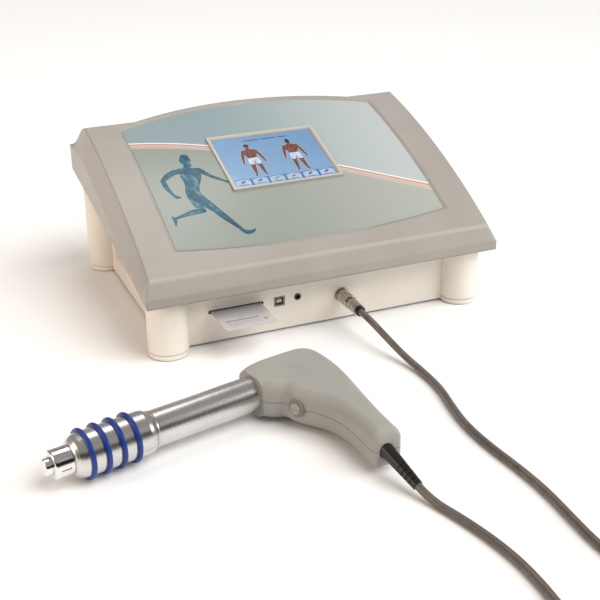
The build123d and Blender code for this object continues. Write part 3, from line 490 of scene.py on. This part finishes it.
def gripFinish():
    # soft grey moulding, with the line where its two halves meet
    finish = Finish("gripPlastic")
    height = finish.axes(finish.place())[2]
    fine = finish.noise(1700.0, 3.0)
    broad = finish.noise(22.0, 2.0)
    half = gripPaint["seamHalf"]
    seam = finish.inside(height - gripPaint["seamHeight"], -half, half, 0.0002)
    light = gripPaint["light"]
    base = finish.blend(finish.ease(broad, 0.35, 0.7), tint(light, 0.95), tint(light, 1.03))
    base = finish.blend(seam * 0.55, base, tint(light, 0.35))
    return finish.shade(Base_Color=base, Roughness=0.46 + 0.1 * (fine - 0.5),
                        Normal=finish.bump(fine * 0.08 - seam, 0.0002, 0.0006))


filmPrint = {
    # the plain colours carry painted shade at the film's left, the lit ones painted light toward its right
    "upper": (0.245, 0.325, 0.350),
    "upperLitRight": (0.455, 0.505, 0.505),
    "lower": (0.262, 0.292, 0.264),
    "lowerLitRight": (0.385, 0.41, 0.372),
    "curve": (-4.99, -49.8, -6.0, 2.9),       # where the band runs: y in mm over x in 100 mm
    "bands": (
        # from, to (mm above the curve), colour, strength
        (0.6, 2.4, (0.86, 0.84, 0.80), 0.9),
        (-2.2, 0.2, (0.52, 0.20, 0.17), 0.75),
        (-5.0, -3.2, (0.66, 0.36, 0.31), 0.6),
        (-8.6, -5.0, (0.70, 0.49, 0.43), 0.45),
        (-3.2, -2.2, (0.78, 0.66, 0.60), 0.6),
    ),
}


def filmFinish():
    finish = Finish("printedFilm")
    across, back = finish.axes(finish.place())[:2]
    wide = across * 10.0
    low, slope, square, cube = [value * mm for value in filmPrint["curve"]]
    curve = low + wide * (slope + wide * (square + wide * cube))
    above = back - curve
    # painted light and shade: the film is painted darker at the left and paler toward the right, where the
    # light falls
    right = finish.ease(across, -0.07, 0.17)
    upper = finish.blend(right, (*filmPrint["upper"], 1), (*filmPrint["upperLitRight"], 1))
    lower = finish.blend(right, (*filmPrint["lower"], 1), (*filmPrint["lowerLitRight"], 1))
    base = finish.blend(finish.ease(above, -0.0005, 0.0005), lower, upper)
    for low, high, colour, strength in filmPrint["bands"]:
        band = finish.inside(above, low * mm, high * mm, 0.0003)
        base = finish.blend(band * strength, base, (*colour, 1))
    fine = finish.noise(1300.0, 2.0)
    return finish.shade(Base_Color=base, Roughness=0.30 + 0.08 * (fine - 0.5),
                        Coat_Weight=0.25, Coat_Roughness=0.18,
                        Normal=finish.bump(fine, 0.000012, 0.0003))


def inkFinish(name, colour, mottle, darker):
    # printing ink on the film or a lit patch on the display
    finish = Finish(name)
    cloud = finish.noise(mottle, 4.0)
    base = finish.blend(finish.ease(cloud, 0.40, 0.60), (*colour, 1), (*darker, 1))
    return finish.shade(Base_Color=base, Roughness=0.32 + 0.1 * (cloud - 0.5),
                        Coat_Weight=0.2, Coat_Roughness=0.15)


display = {
    "sky": (0.125, 0.25, 0.42), "skyPale": (0.205, 0.34, 0.53),
}


def displayFinish():
    # a lit picture: pale blue that deepens to the upper right
    finish = Finish("litDisplay")
    across, back = finish.axes(finish.place())[:2]
    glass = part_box("touch_glass")
    rise = finish.ease(back, glass[0][1], glass[1][1])
    side = finish.ease(across, glass[0][0], glass[1][0])
    cloud = finish.noise(26.0, 2.0)
    share = rise * 0.55 + side * 0.35 + (cloud - 0.5) * 0.5
    base = finish.blend(share, (*display["skyPale"], 1), (*display["sky"], 1))
    grain = finish.noise(2600.0, 1.0)
    return finish.shade(Base_Color=base, Roughness=0.16 + 0.04 * (grain - 0.5), Coat_Weight=0.35,
                        Emission_Color=base, Emission_Strength=0.07)


def cardFinish():
    # light card: a pale face with a tinted header band and a few plain rules
    finish = Finish("cardPrint")
    across, back = finish.axes(finish.place())[:2]
    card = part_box("memory_card")
    reach = back - card[0][1]
    left = across - card[0][0]
    broad = finish.noise(60.0, 2.0)
    base = finish.blend(finish.ease(broad, 0.3, 0.7), (0.56, 0.545, 0.555, 1), (0.61, 0.595, 0.60, 1))
    header = finish.inside(reach, 0.0405, 0.060, 0.0002)
    base = finish.blend(header * 0.55, base, (0.45, 0.50, 0.58, 1))
    inset = finish.inside(left, 0.006, 0.040, 0.0003)
    for low, high, strength in ((0.0175, 0.0200, 0.75), (0.0125, 0.0137, 0.45), (0.0090, 0.0100, 0.4)):
        rule = finish.inside(reach, low, high, 0.0002) * inset
        base = finish.blend(rule * strength, base, (0.16, 0.17, 0.22, 1))
    dot = finish.inside(left, 0.044, 0.0475, 0.0003) * finish.inside(reach, 0.011, 0.0145, 0.0003)
    base = finish.blend(dot * 0.8, base, (0.45, 0.12, 0.10, 1))
    return finish.shade(Base_Color=base, Roughness=0.25 + 0.1 * (broad - 0.5), Coat_Weight=0.3,
                        Normal=finish.bump(broad, 0.00002, 0.0002))


def socketFinish():
    # square data socket: dark shell with a pale tongue in its mouth
    finish = Finish("dataSocket")
    across, back, height = finish.axes(finish.place())
    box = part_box("usb_socket")
    middleX = (box[0][0] + box[1][0]) / 2
    middleZ = (box[0][2] + box[1][2]) / 2
    tongue = finish.inside(across - middleX, -0.0029, 0.0029, 0.0001)
    tongue = tongue * finish.inside(height - middleZ, -0.0017, 0.0017, 0.0001) * finish.ease(
        back, box[0][1] + 0.0008, box[0][1] + 0.0012)
    grain = finish.noise(900.0, 2.0)
    base = finish.blend(tongue, (0.25, 0.225, 0.195, 1), (0.80, 0.79, 0.76, 1))
    return finish.shade(Base_Color=base, Roughness=0.42 + 0.1 * (grain - 0.5),
                        Normal=finish.bump(grain, 0.00001, 0.0003))


def boardFinish():
    # green solder resist with copper tracks and pale legend marks
    finish = Finish("circuitBoard")
    track = finish.node("ShaderNodeTexBrick", {"offset": 0.5}, {
        "Vector": finish.place(), "Scale": 140.0, "Mortar Size": 0.06, "Color1": (0.012, 0.10, 0.05, 1),
        "Color2": (0.014, 0.12, 0.06, 1), "Mortar": (0.04, 0.20, 0.09, 1)})
    speck = finish.noise(420.0, 1.0)
    base = finish.blend(finish.ease(speck, 0.68, 0.72) * 0.7, track, (0.75, 0.75, 0.7, 1))
    return finish.shade(Base_Color=base, Roughness=0.35 + 0.15 * (speck - 0.5))


def windingFinish():
    finish = Finish("copperWinding")
    reach = finish.along(rearward, handle["seat"])
    wire = finish.maths("SINE", reach * 7000.0)
    cloud = finish.noise(90.0, 2.0)
    base = finish.blend(finish.ease(cloud, 0.4, 0.65), (0.62, 0.25, 0.11, 1), (0.50, 0.18, 0.075, 1))
    return finish.shade(Base_Color=base, Metallic=1.0, Roughness=0.32 + 0.1 * cloud,
                        Normal=finish.bump(wire, 0.0001))


def leadFinish():
    # grey-brown jacket with a soft shine and faint drag marks
    finish = Finish("leadJacket")
    fine = finish.noise(900.0, 3.0)
    marks = finish.noise(70.0, 3.0)
    base = finish.blend(finish.ease(marks, 0.36, 0.66), (0.088, 0.071, 0.056, 1), (0.122, 0.10, 0.08, 1))
    return finish.shade(Base_Color=base, Roughness=0.30 + 0.16 * (marks - 0.5), Sheen_Weight=0.15,
                        Normal=finish.bump(fine, 0.00004))


def strapFinish():
    finish = Finish("strapWeave")
    across, back, height = finish.axes(finish.place())
    warp = finish.maths("SINE", across * 9000.0) * finish.maths("SINE", (back + height) * 9000.0)
    cloud = finish.noise(300.0, 2.0)
    base = finish.blend(finish.ease(warp, -0.6, 0.8), (0.02, 0.02, 0.022, 1), (0.055, 0.055, 0.06, 1))
    return finish.shade(Base_Color=base, Roughness=0.85 + 0.1 * (cloud - 0.5), Sheen_Weight=0.3,
                        Normal=finish.bump(warp, 0.00015))


def floorFinish():
    finish = Finish("paperFloor")
    cloud = finish.noise(3.0, 2.0)
    paper = studio["floorColour"]
    base = finish.blend(finish.ease(cloud, 0.3, 0.7), paper, tint(paper, 0.995))
    return finish.shade(Base_Color=base, Roughness=0.75, Specular_IOR_Level=0.1)


def clothFinish():
    finish = Finish("darkCloth")
    cloud = finish.noise(3.0, 2.0)
    base = finish.blend(cloud, darkCard["colour"], tint(darkCard["colour"], 1.3))
    return finish.shade(Base_Color=base, Roughness=0.9, Specular_IOR_Level=0.0)


finishes = {name: mouldedFinish(name) for name in mouldings}
finishes.update({name: turnedFinish(name) for name in metals})
finishes.update({
    "satinNickel": nickelFinish(), "zincSheet": zincFinish(), "gripPlastic": gripFinish(),
    "printedFilm": filmFinish(), "litDisplay": displayFinish(), "cardPrint": cardFinish(),
    "dataSocket": socketFinish(), "circuitBoard": boardFinish(), "copperWinding": windingFinish(),
    "leadJacket": leadFinish(), "strapWeave": strapFinish(), "paperFloor": floorFinish(),
    "darkCloth": clothFinish(),
})

finishOf = {
    "lidPlastic": ["lid"],
    "printedFilm": ["overlay_film"],
    "zincSheet": ["lid_underside", "lcd_bracket", "bottom_plate", "power_supply", "heat_sink", "fan_guard"],
    "bezelPlastic": ["screen_bezel"],
    "litDisplay": ["touch_glass"],
    "blackMoulding": [
        "lcd_module", "card_reader", "mains_inlet", "fuse_drawer", "rocker_frame", "power_rocker",
        "fan_frame", "fan_rotor", "driver_capacitors", "trigger_switch", "jack_socket",
    ],
    "casePaint": [
        "front_panel", "rear_panel", "side_panel_left", "side_panel_right", "front_posts", "rear_posts",
        "foot_caps",
    ],
    "padRubber": ["foot_pads", "tip_cushion"],
    "cardPrint": ["memory_card"],
    "dataSocket": ["usb_socket"],
    "satinNickel": ["lead_socket", "plug_body", "plug_sleeve"],
    "circuitBoard": ["main_board", "driver_board"],
    "gripPlastic": ["grip_shell_upper", "grip_shell_lower", "trigger_button"],
    "ringPlastic": ["button_ring"],
    "turnedAlloy": ["barrel_tube", "front_sleeve", "rear_block"],
    "blueRubber": ["damping_ring_1", "damping_ring_2", "damping_ring_3", "damping_ring_4"],
    "groundSteel": ["nut_washer", "guide_tube", "striker"],
    "brightChrome": ["retaining_nut", "transmitter_tip"],
    "copperWinding": ["drive_coils"],
    "bootRubber": ["strain_relief", "plug_grommet"],
    "leadJacket": ["lead_console_run", "lead_hand_run", "lead_coil"],
    "strapWeave": ["coil_tie"],
}


def dress(piece, name):
    piece.data.materials.clear()
    piece.data.materials.append(finishes[name])


for finishName, members in finishOf.items():
    for member in members:
        dress(nodes[member], finishName)
dress(leadPiece, "leadJacket")
dress(strapPiece, "strapWeave")
dress(floorPiece, "paperFloor")
dress(cardPiece, "darkCloth")
print("finishes made")


def smoothPath(points, pace):
    # evenly spaced (x, y, radius) along a curve through the points
    padded = [points[0]] + points + [points[-1]]
    path = []
    for number in range(1, len(padded) - 2):
        before, first, second, after = padded[number - 1:number + 3]
        run = math.dist(first[:2], second[:2])
        steps = max(2, int(run / pace))
        for step in range(steps):
            share = step / steps
            path.append([
                0.5 * (2 * b + (c - a) * share + (2 * a - 5 * b + 4 * c - d) * share**2
                       + (3 * b - a - 3 * c + d) * share**3)
                for a, b, c, d in zip(before, first, second, after)
            ])
    path.append(list(points[-1]))
    return path


def strokeRows(points, pace, columns):
    # rows of flat points across a stroke whose ends are round
    path = smoothPath(points, pace)
    rows = []
    caps = 5

    def addRow(x, y, headingX, headingY, half):
        rows.append([
            (x - headingY * half * side, y + headingX * half * side)
            for side in [2 * column / (columns - 1) - 1 for column in range(columns)]
        ])

    def heading(number):
        before = path[max(number - 1, 0)]
        after = path[min(number + 1, len(path) - 1)]
        run = math.dist(before[:2], after[:2])
        return (after[0] - before[0]) / run, (after[1] - before[1]) / run

    x, y, radius = path[0]
    headingX, headingY = heading(0)
    for step in range(caps):
        angle = math.pi / 2 * step / caps
        back = radius * math.cos(angle)
        half = radius * max(math.sin(angle), 0.04)
        addRow(x - headingX * back, y - headingY * back, headingX, headingY, half)
    for number, (x, y, radius) in enumerate(path):
        headingX, headingY = heading(number)
        addRow(x, y, headingX, headingY, radius)
    for step in range(1, caps + 1):
        angle = math.pi / 2 * step / caps
        ahead = radius * math.sin(angle)
        half = radius * max(math.cos(angle), 0.04)
        addRow(x + headingX * ahead, y + headingY * ahead, headingX, headingY, half)
    return rows


def printStrokes(name, strokes, surface, finishName, lift, body="device", pace=1.2, columns=7):
    # flat ink that lies on a surface, each stroke a hair above the last
    corners = []
    faces = []
    for number, points in enumerate(strokes):
        rows = strokeRows([tuple(point) for point in points], pace, columns)
        base = len(corners)
        for row in rows:
            corners.extend(surface(x, y, lift + 0.003 * number) for x, y in row)
        for line in range(len(rows) - 1):
            for column in range(columns - 1):
                corner = base + line * columns + column
                faces.append((corner, corner + 1, corner + columns + 1, corner + columns)[::-1])
    piece = smoothMesh(name, corners, faces, body=body)
    dress(piece, finishName)
    return piece


crown = {"y": 257.38, "z": -615.39, "radius": 809.8}      # centre and radius of the film's upper face


def onFilm(x, y, lift):
    radius = crown["radius"] + lift
    height = crown["z"] + math.sqrt(radius**2 - (y - crown["y"])**2)
    return (x * mm, y * mm, height * mm)


screenMiddleY = -9.5
crownOuter = 811.8
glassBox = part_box("touch_glass")
glassMiddle = (Vector(glassBox[0]) + Vector(glassBox[1])) / 2
screenSlope = math.asin((crown["y"] - screenMiddleY) / crownOuter)
glassHalf = 0.9


def onScreen(x, y, lift):
    up = glassHalf + lift
    return (
        glassMiddle[0] + x * mm,
        glassMiddle[1] + (y * math.cos(screenSlope) - up * math.sin(screenSlope)) * mm,
        glassMiddle[2] + (y * math.sin(screenSlope) + up * math.cos(screenSlope)) * mm,
    )


for name, colour, mottle, darker in (
    ("runnerInk", (0.001, 0.045, 0.085), 140.0, (0.003, 0.10, 0.165)),
    ("runnerPaleInk", (0.012, 0.105, 0.16), 160.0, (0.09, 0.21, 0.265)),
    ("skinPatch", (0.19, 0.06, 0.032), 300.0, (0.11, 0.032, 0.018)),
    ("hairPatch", (0.012, 0.010, 0.012), 300.0, (0.03, 0.02, 0.02)),
    ("clothPatch", (0.55, 0.64, 0.74), 240.0, (0.38, 0.50, 0.66)),
    ("haloPatch", (0.46, 0.57, 0.70), 90.0, (0.40, 0.52, 0.68)),
    ("keyPatch", (0.30, 0.42, 0.60), 120.0, (0.35, 0.47, 0.64)),
    ("ruleInk", (0.03, 0.05, 0.22), 150.0, (0.05, 0.08, 0.30)),
    ("greenPatch", (0.10, 0.28, 0.10), 200.0, (0.16, 0.36, 0.12)),
    ("redPatch", (0.50, 0.08, 0.07), 200.0, (0.60, 0.15, 0.10)),
):
    finishes[name] = inkFinish(name, colour, mottle, darker)

runner = {
    "rearLeg": [
        [(-109, -50, 5.6), (-108.5, -61, 4.6), (-105, -71.5, 3.2)],
    ],
    "body": [
        [(-104.5, -72.6, 3.0), (-115, -72.8, 3.2), (-127, -75.4, 2.0), (-135.5, -77.6, 1.5)],
        [(-137.8, -75.6, 1.4), (-136.6, -80, 1.9), (-138, -86, 0.9)],
        [(-115, -11.6, 3.8), (-124, -16.5, 3.6), (-131, -22.6, 2.7)],
        [(-131.4, -23, 2.6), (-131, -33, 2.8), (-128.6, -42, 1.8), (-126.8, -47, 1.5)],
        [(-127, -47, 1.6), (-124.6, -49.8, 2.0), (-121.4, -50.4, 1.0)],
        [(-90, -13.2, 3.6), (-84.5, -20, 2.9), (-79.7, -26.2, 2.2)],
        [(-80, -26, 2.1), (-74, -30.8, 2.2), (-69, -35, 1.3)],
        [(-69.4, -34.7, 1.3), (-66.6, -37.1, 1.6), (-64.2, -38.8, 0.6)],
        [(-107, -47, 7.4), (-102.5, -57, 6.4), (-96, -67, 4.9), (-91.3, -75, 3.8)],
        [(-91.6, -74.4, 3.8), (-86, -84.5, 3.8), (-79.5, -95, 2.6), (-74.4, -103, 1.8)],
        [(-75, -103, 2.0), (-70.5, -107.3, 2.5), (-65, -107.2, 1.8), (-61, -105.2, 0.8)],
        [(-114, -12.2, 4.0), (-108, -12.0, 4.6), (-97, -13.4, 4.6), (-90, -13.8, 3.6)],
        [(-101.5, -13, 7.0), (-100.6, -19, 11.2), (-101.6, -27, 9.6), (-104, -36, 7.4), (-106.6, -45, 7.6),
         (-107.6, -50, 6.2)],
        [(-99.6, -3, 3.0), (-101, -9.4, 3.6)],
        [(-97.4, 11.0, 4.6), (-98.6, 4.6, 6.0), (-97.8, -1.4, 4.0), (-96.6, -4.6, 2.2)],
    ],
    "highlights": [
        [(-101, -21, 2.0), (-99.0, -28, 3.0), (-99.6, -36, 2.2)],
        [(-108, -17, 1.0), (-107.5, -22, 1.6), (-106, -27, 0.7)],
        [(-95.4, 1.6, 1.8), (-95.8, -1.4, 1.4)],
        [(-103.5, -40, 1.4), (-102, -47, 1.8), (-99, -53, 0.8)],
        [(-126, -75.2, 0.5), (-117, -73.6, 1.1), (-109, -73.2, 0.6)],
        [(-97, -62, 0.7), (-93.4, -68.5, 1.2), (-89.6, -75.5, 0.6)],
    ],
}
printStrokes("runnerRearLeg", runner["rearLeg"], onFilm, "runnerPaleInk", 0.02)
printStrokes("runnerBody", runner["body"], onFilm, "runnerInk", 0.03)
printStrokes("runnerLights", runner["highlights"], onFilm, "runnerPaleInk", 0.09)


def mirrored(points):
    return [(-x, y, radius) for x, y, radius in points]


def shifted(strokes, across, grow=0.0):
    return [[(x + across, y, radius + grow) for x, y, radius in points] for points in strokes]


leg = [(-3.3, -3.5, 3.3), (-4.1, -12, 2.5), (-4.7, -19.5, 1.9), (-5.1, -25, 1.2), (-6.6, -27.3, 1.0)]
arm = [(-7.2, 16.4, 2.2), (-9.6, 9.0, 1.9), (-11.3, 1.6, 1.4), (-12.4, -4.4, 1.0)]
standing = {
    "skin": [
        leg, mirrored(leg), arm, mirrored(arm),
        [(-6.0, 16.6, 2.4), (0, 17.2, 2.6), (6.0, 16.6, 2.4)],
        [(0, 15.5, 5.6), (0, 11.5, 7.0), (0, 6.5, 5.6), (0, 2.5, 5.2)],
        [(0, 20.5, 1.9), (0, 18.6, 2.2)],
        [(0, 26.0, 2.5), (0, 23.6, 2.7), (0, 21.8, 1.8)],
    ],
    "shorts": [
        [(-3.1, 1.2, 3.0), (-3.9, -4.8, 3.2)], [(3.1, 1.2, 3.0), (3.9, -4.8, 3.2)],
        [(-2.6, 1.4, 2.4), (2.6, 1.4, 2.4)],
    ],
    "hairFront": [[(-1.7, 26.7, 1.5), (0, 27.4, 1.8), (1.7, 26.7, 1.5)]],
    "hairBack": [[(0, 27.0, 2.4), (0, 24.8, 2.7)]],
}
for side, across, hair in (("Front", -23.0, "hairFront"), ("Back", 25.0, "hairBack")):
    printStrokes(f"halo{side}", shifted(standing["skin"], across, 0.4), onScreen, "haloPatch", 0.04)
    printStrokes(f"figure{side}", shifted(standing["skin"], across), onScreen, "skinPatch", 0.12)
    printStrokes(f"shorts{side}", shifted(standing["shorts"], across), onScreen, "clothPatch", 0.20)
    printStrokes(f"hair{side}", shifted(standing[hair], across), onScreen, "hairPatch", 0.24)


def bar(x0, y0, x1, y1, half):
    return [(x0, y0, half), (x1, y1, half)]


def printKeys():
    # row of soft keys along the display's lower edge
    halfWide, low, high = 57.0, -42.6, -31.4
    count = 6
    pitch = 2 * halfWide / count
    middle = (low + high) / 2
    keys = [bar(-halfWide + pitch * (n + 0.5) - 2.6, middle, -halfWide + pitch * (n + 0.5) + 2.6, middle, 5.4)
            for n in range(count)]
    printStrokes("keyFaces", keys, onScreen, "keyPatch", 0.04)
    rules = [bar(-halfWide, high, halfWide, high, 0.25)]
    rules += [bar(-halfWide + pitch * n, low, -halfWide + pitch * n, high, 0.7) for n in range(1, count)]
    for n in range(count):
        keyMiddle = -halfWide + pitch * (n + 0.5)
        rules.append(bar(keyMiddle - 4.6, low + 2.0, keyMiddle + 4.6, low + 2.0, 0.55))
    rules += [bar(-22, 35.5, -6, 35.5, 0.75), bar(-2, 35.5, 14, 35.5, 0.75), bar(18, 35.5, 27, 35.5, 0.75)]
    printStrokes("keyRules", rules, onScreen, "ruleInk", 0.09, columns=3)
    icons = {"greenPatch": (2,), "redPatch": (3,), "ruleInk": (0, 1, 4, 5)}
    for ink, places in icons.items():
        marks = []
        for n in places:
            x = -halfWide + pitch * (n + 0.5)
            marks.append([(x - 1.6, middle + 0.4, 1.1), (x + 1.2, middle + 2.4, 1.3)])
        printStrokes(f"keyMarks_{ink}", marks, onScreen, ink, 0.14, pace=0.6)


printKeys()
print("prints laid")


# painted shadow of the card slot: sizes of the dark ring and how far it stands proud of the front panel
cardSlotShade = {
    "outHalf": 29.6 * mm, "outRise": 1.9 * mm, "inHalf": 27.7 * mm, "inRise": 0.85 * mm,
    "proud": 0.25 * mm,
}


def makeSlotShade():
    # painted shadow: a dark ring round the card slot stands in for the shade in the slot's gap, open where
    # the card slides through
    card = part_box("memory_card")
    middleX = (card[0][0] + card[1][0]) / 2
    middleZ = (card[0][2] + card[1][2]) / 2
    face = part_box("front_panel")[0][1]
    inRise, outRise = cardSlotShade["inRise"], cardSlotShade["outRise"]
    inner = roundedLoop(cardSlotShade["inHalf"], -inRise, inRise, inRise * 0.9)
    outer = roundedLoop(cardSlotShade["outHalf"], -outRise, outRise, outRise * 0.98)
    front = face - cardSlotShade["proud"]
    count = len(inner)
    corners = []
    for loop, y in ((inner, front), (outer, front), (outer, face), (inner, face)):
        corners.extend((middleX + across, y, middleZ + rise) for across, rise in loop)
    faces = []
    for ring in range(4):
        nextRing = (ring + 1) % 4
        for step in range(count):
            after = (step + 1) % count
            low, high = ring * count, nextRing * count
            faces.append((low + step, high + step, high + after, low + after))
    return smoothMesh("slotShade", corners, faces, smooth=False)


dress(makeSlotShade(), "padRubber")

screws = {
    "radius": 3.0 * mm, "height": 1.3 * mm, "slot": 0.45 * mm, "sides": 28,
    "rear": [(-135, 20), (135, 20), (-135, 92), (135, 92), (0, 20)],
    "under": [(-120, -100), (120, -100), (-120, 100), (120, 100), (0, -100), (0, 100)],
}


def screwHead(name, place, facing):
    # low domed head with a crossed recess, turned to face its direction
    mesh = bpy.data.meshes.new(name)
    shape = bmesh.new()
    radius, height, sides = screws["radius"], screws["height"], screws["sides"]
    profile = [(radius, 0.0), (radius, height * 0.35), (radius * 0.86, height * 0.75), (radius * 0.6, height)]
    rings = []
    for reach, level in profile:
        ring = []
        for step in range(sides):
            angle = 2 * math.pi * step / sides
            ring.append(shape.verts.new((reach * math.cos(angle), reach * math.sin(angle), level)))
        rings.append(ring)
    cross = []
    for step in range(sides):
        angle = 2 * math.pi * step / sides
        inCross = min(abs(math.cos(angle)), abs(math.sin(angle))) < 0.30
        reach = radius * (0.58 if inCross else 0.20)
        cross.append((reach * math.cos(angle), reach * math.sin(angle)))
    rings.append([shape.verts.new((x, y, height)) for x, y in cross])
    rings.append([shape.verts.new((x * 0.8, y * 0.8, height * 0.3)) for x, y in cross])
    for outer, inner in zip(rings, rings[1:]):
        for step in range(sides):
            after = (step + 1) % sides
            shape.faces.new((outer[step], outer[after], inner[after], inner[step]))
    shape.faces.new(rings[-1])
    shape.to_mesh(mesh)
    shape.free()
    turn = Vector(facing).to_track_quat("Z", "Y").to_matrix().to_4x4()
    mesh.transform(Matrix.Translation(place) @ turn)
    piece = linkUp(bpy.data.objects.new(name, mesh))
    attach(piece, "device")
    dress(piece, "groundSteel")


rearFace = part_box("rear_panel")[1][1]
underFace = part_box("bottom_plate")[0][2]
for number, (x, z) in enumerate(screws["rear"]):
    screwHead(f"rearScrew_{number + 1}", (x * mm, rearFace, z * mm), (0, 1, 0))
for number, (x, y) in enumerate(screws["under"]):
    screwHead(f"underScrew_{number + 1}", (x * mm, y * mm, underFace), (0, 0, -1))
print("screws set")
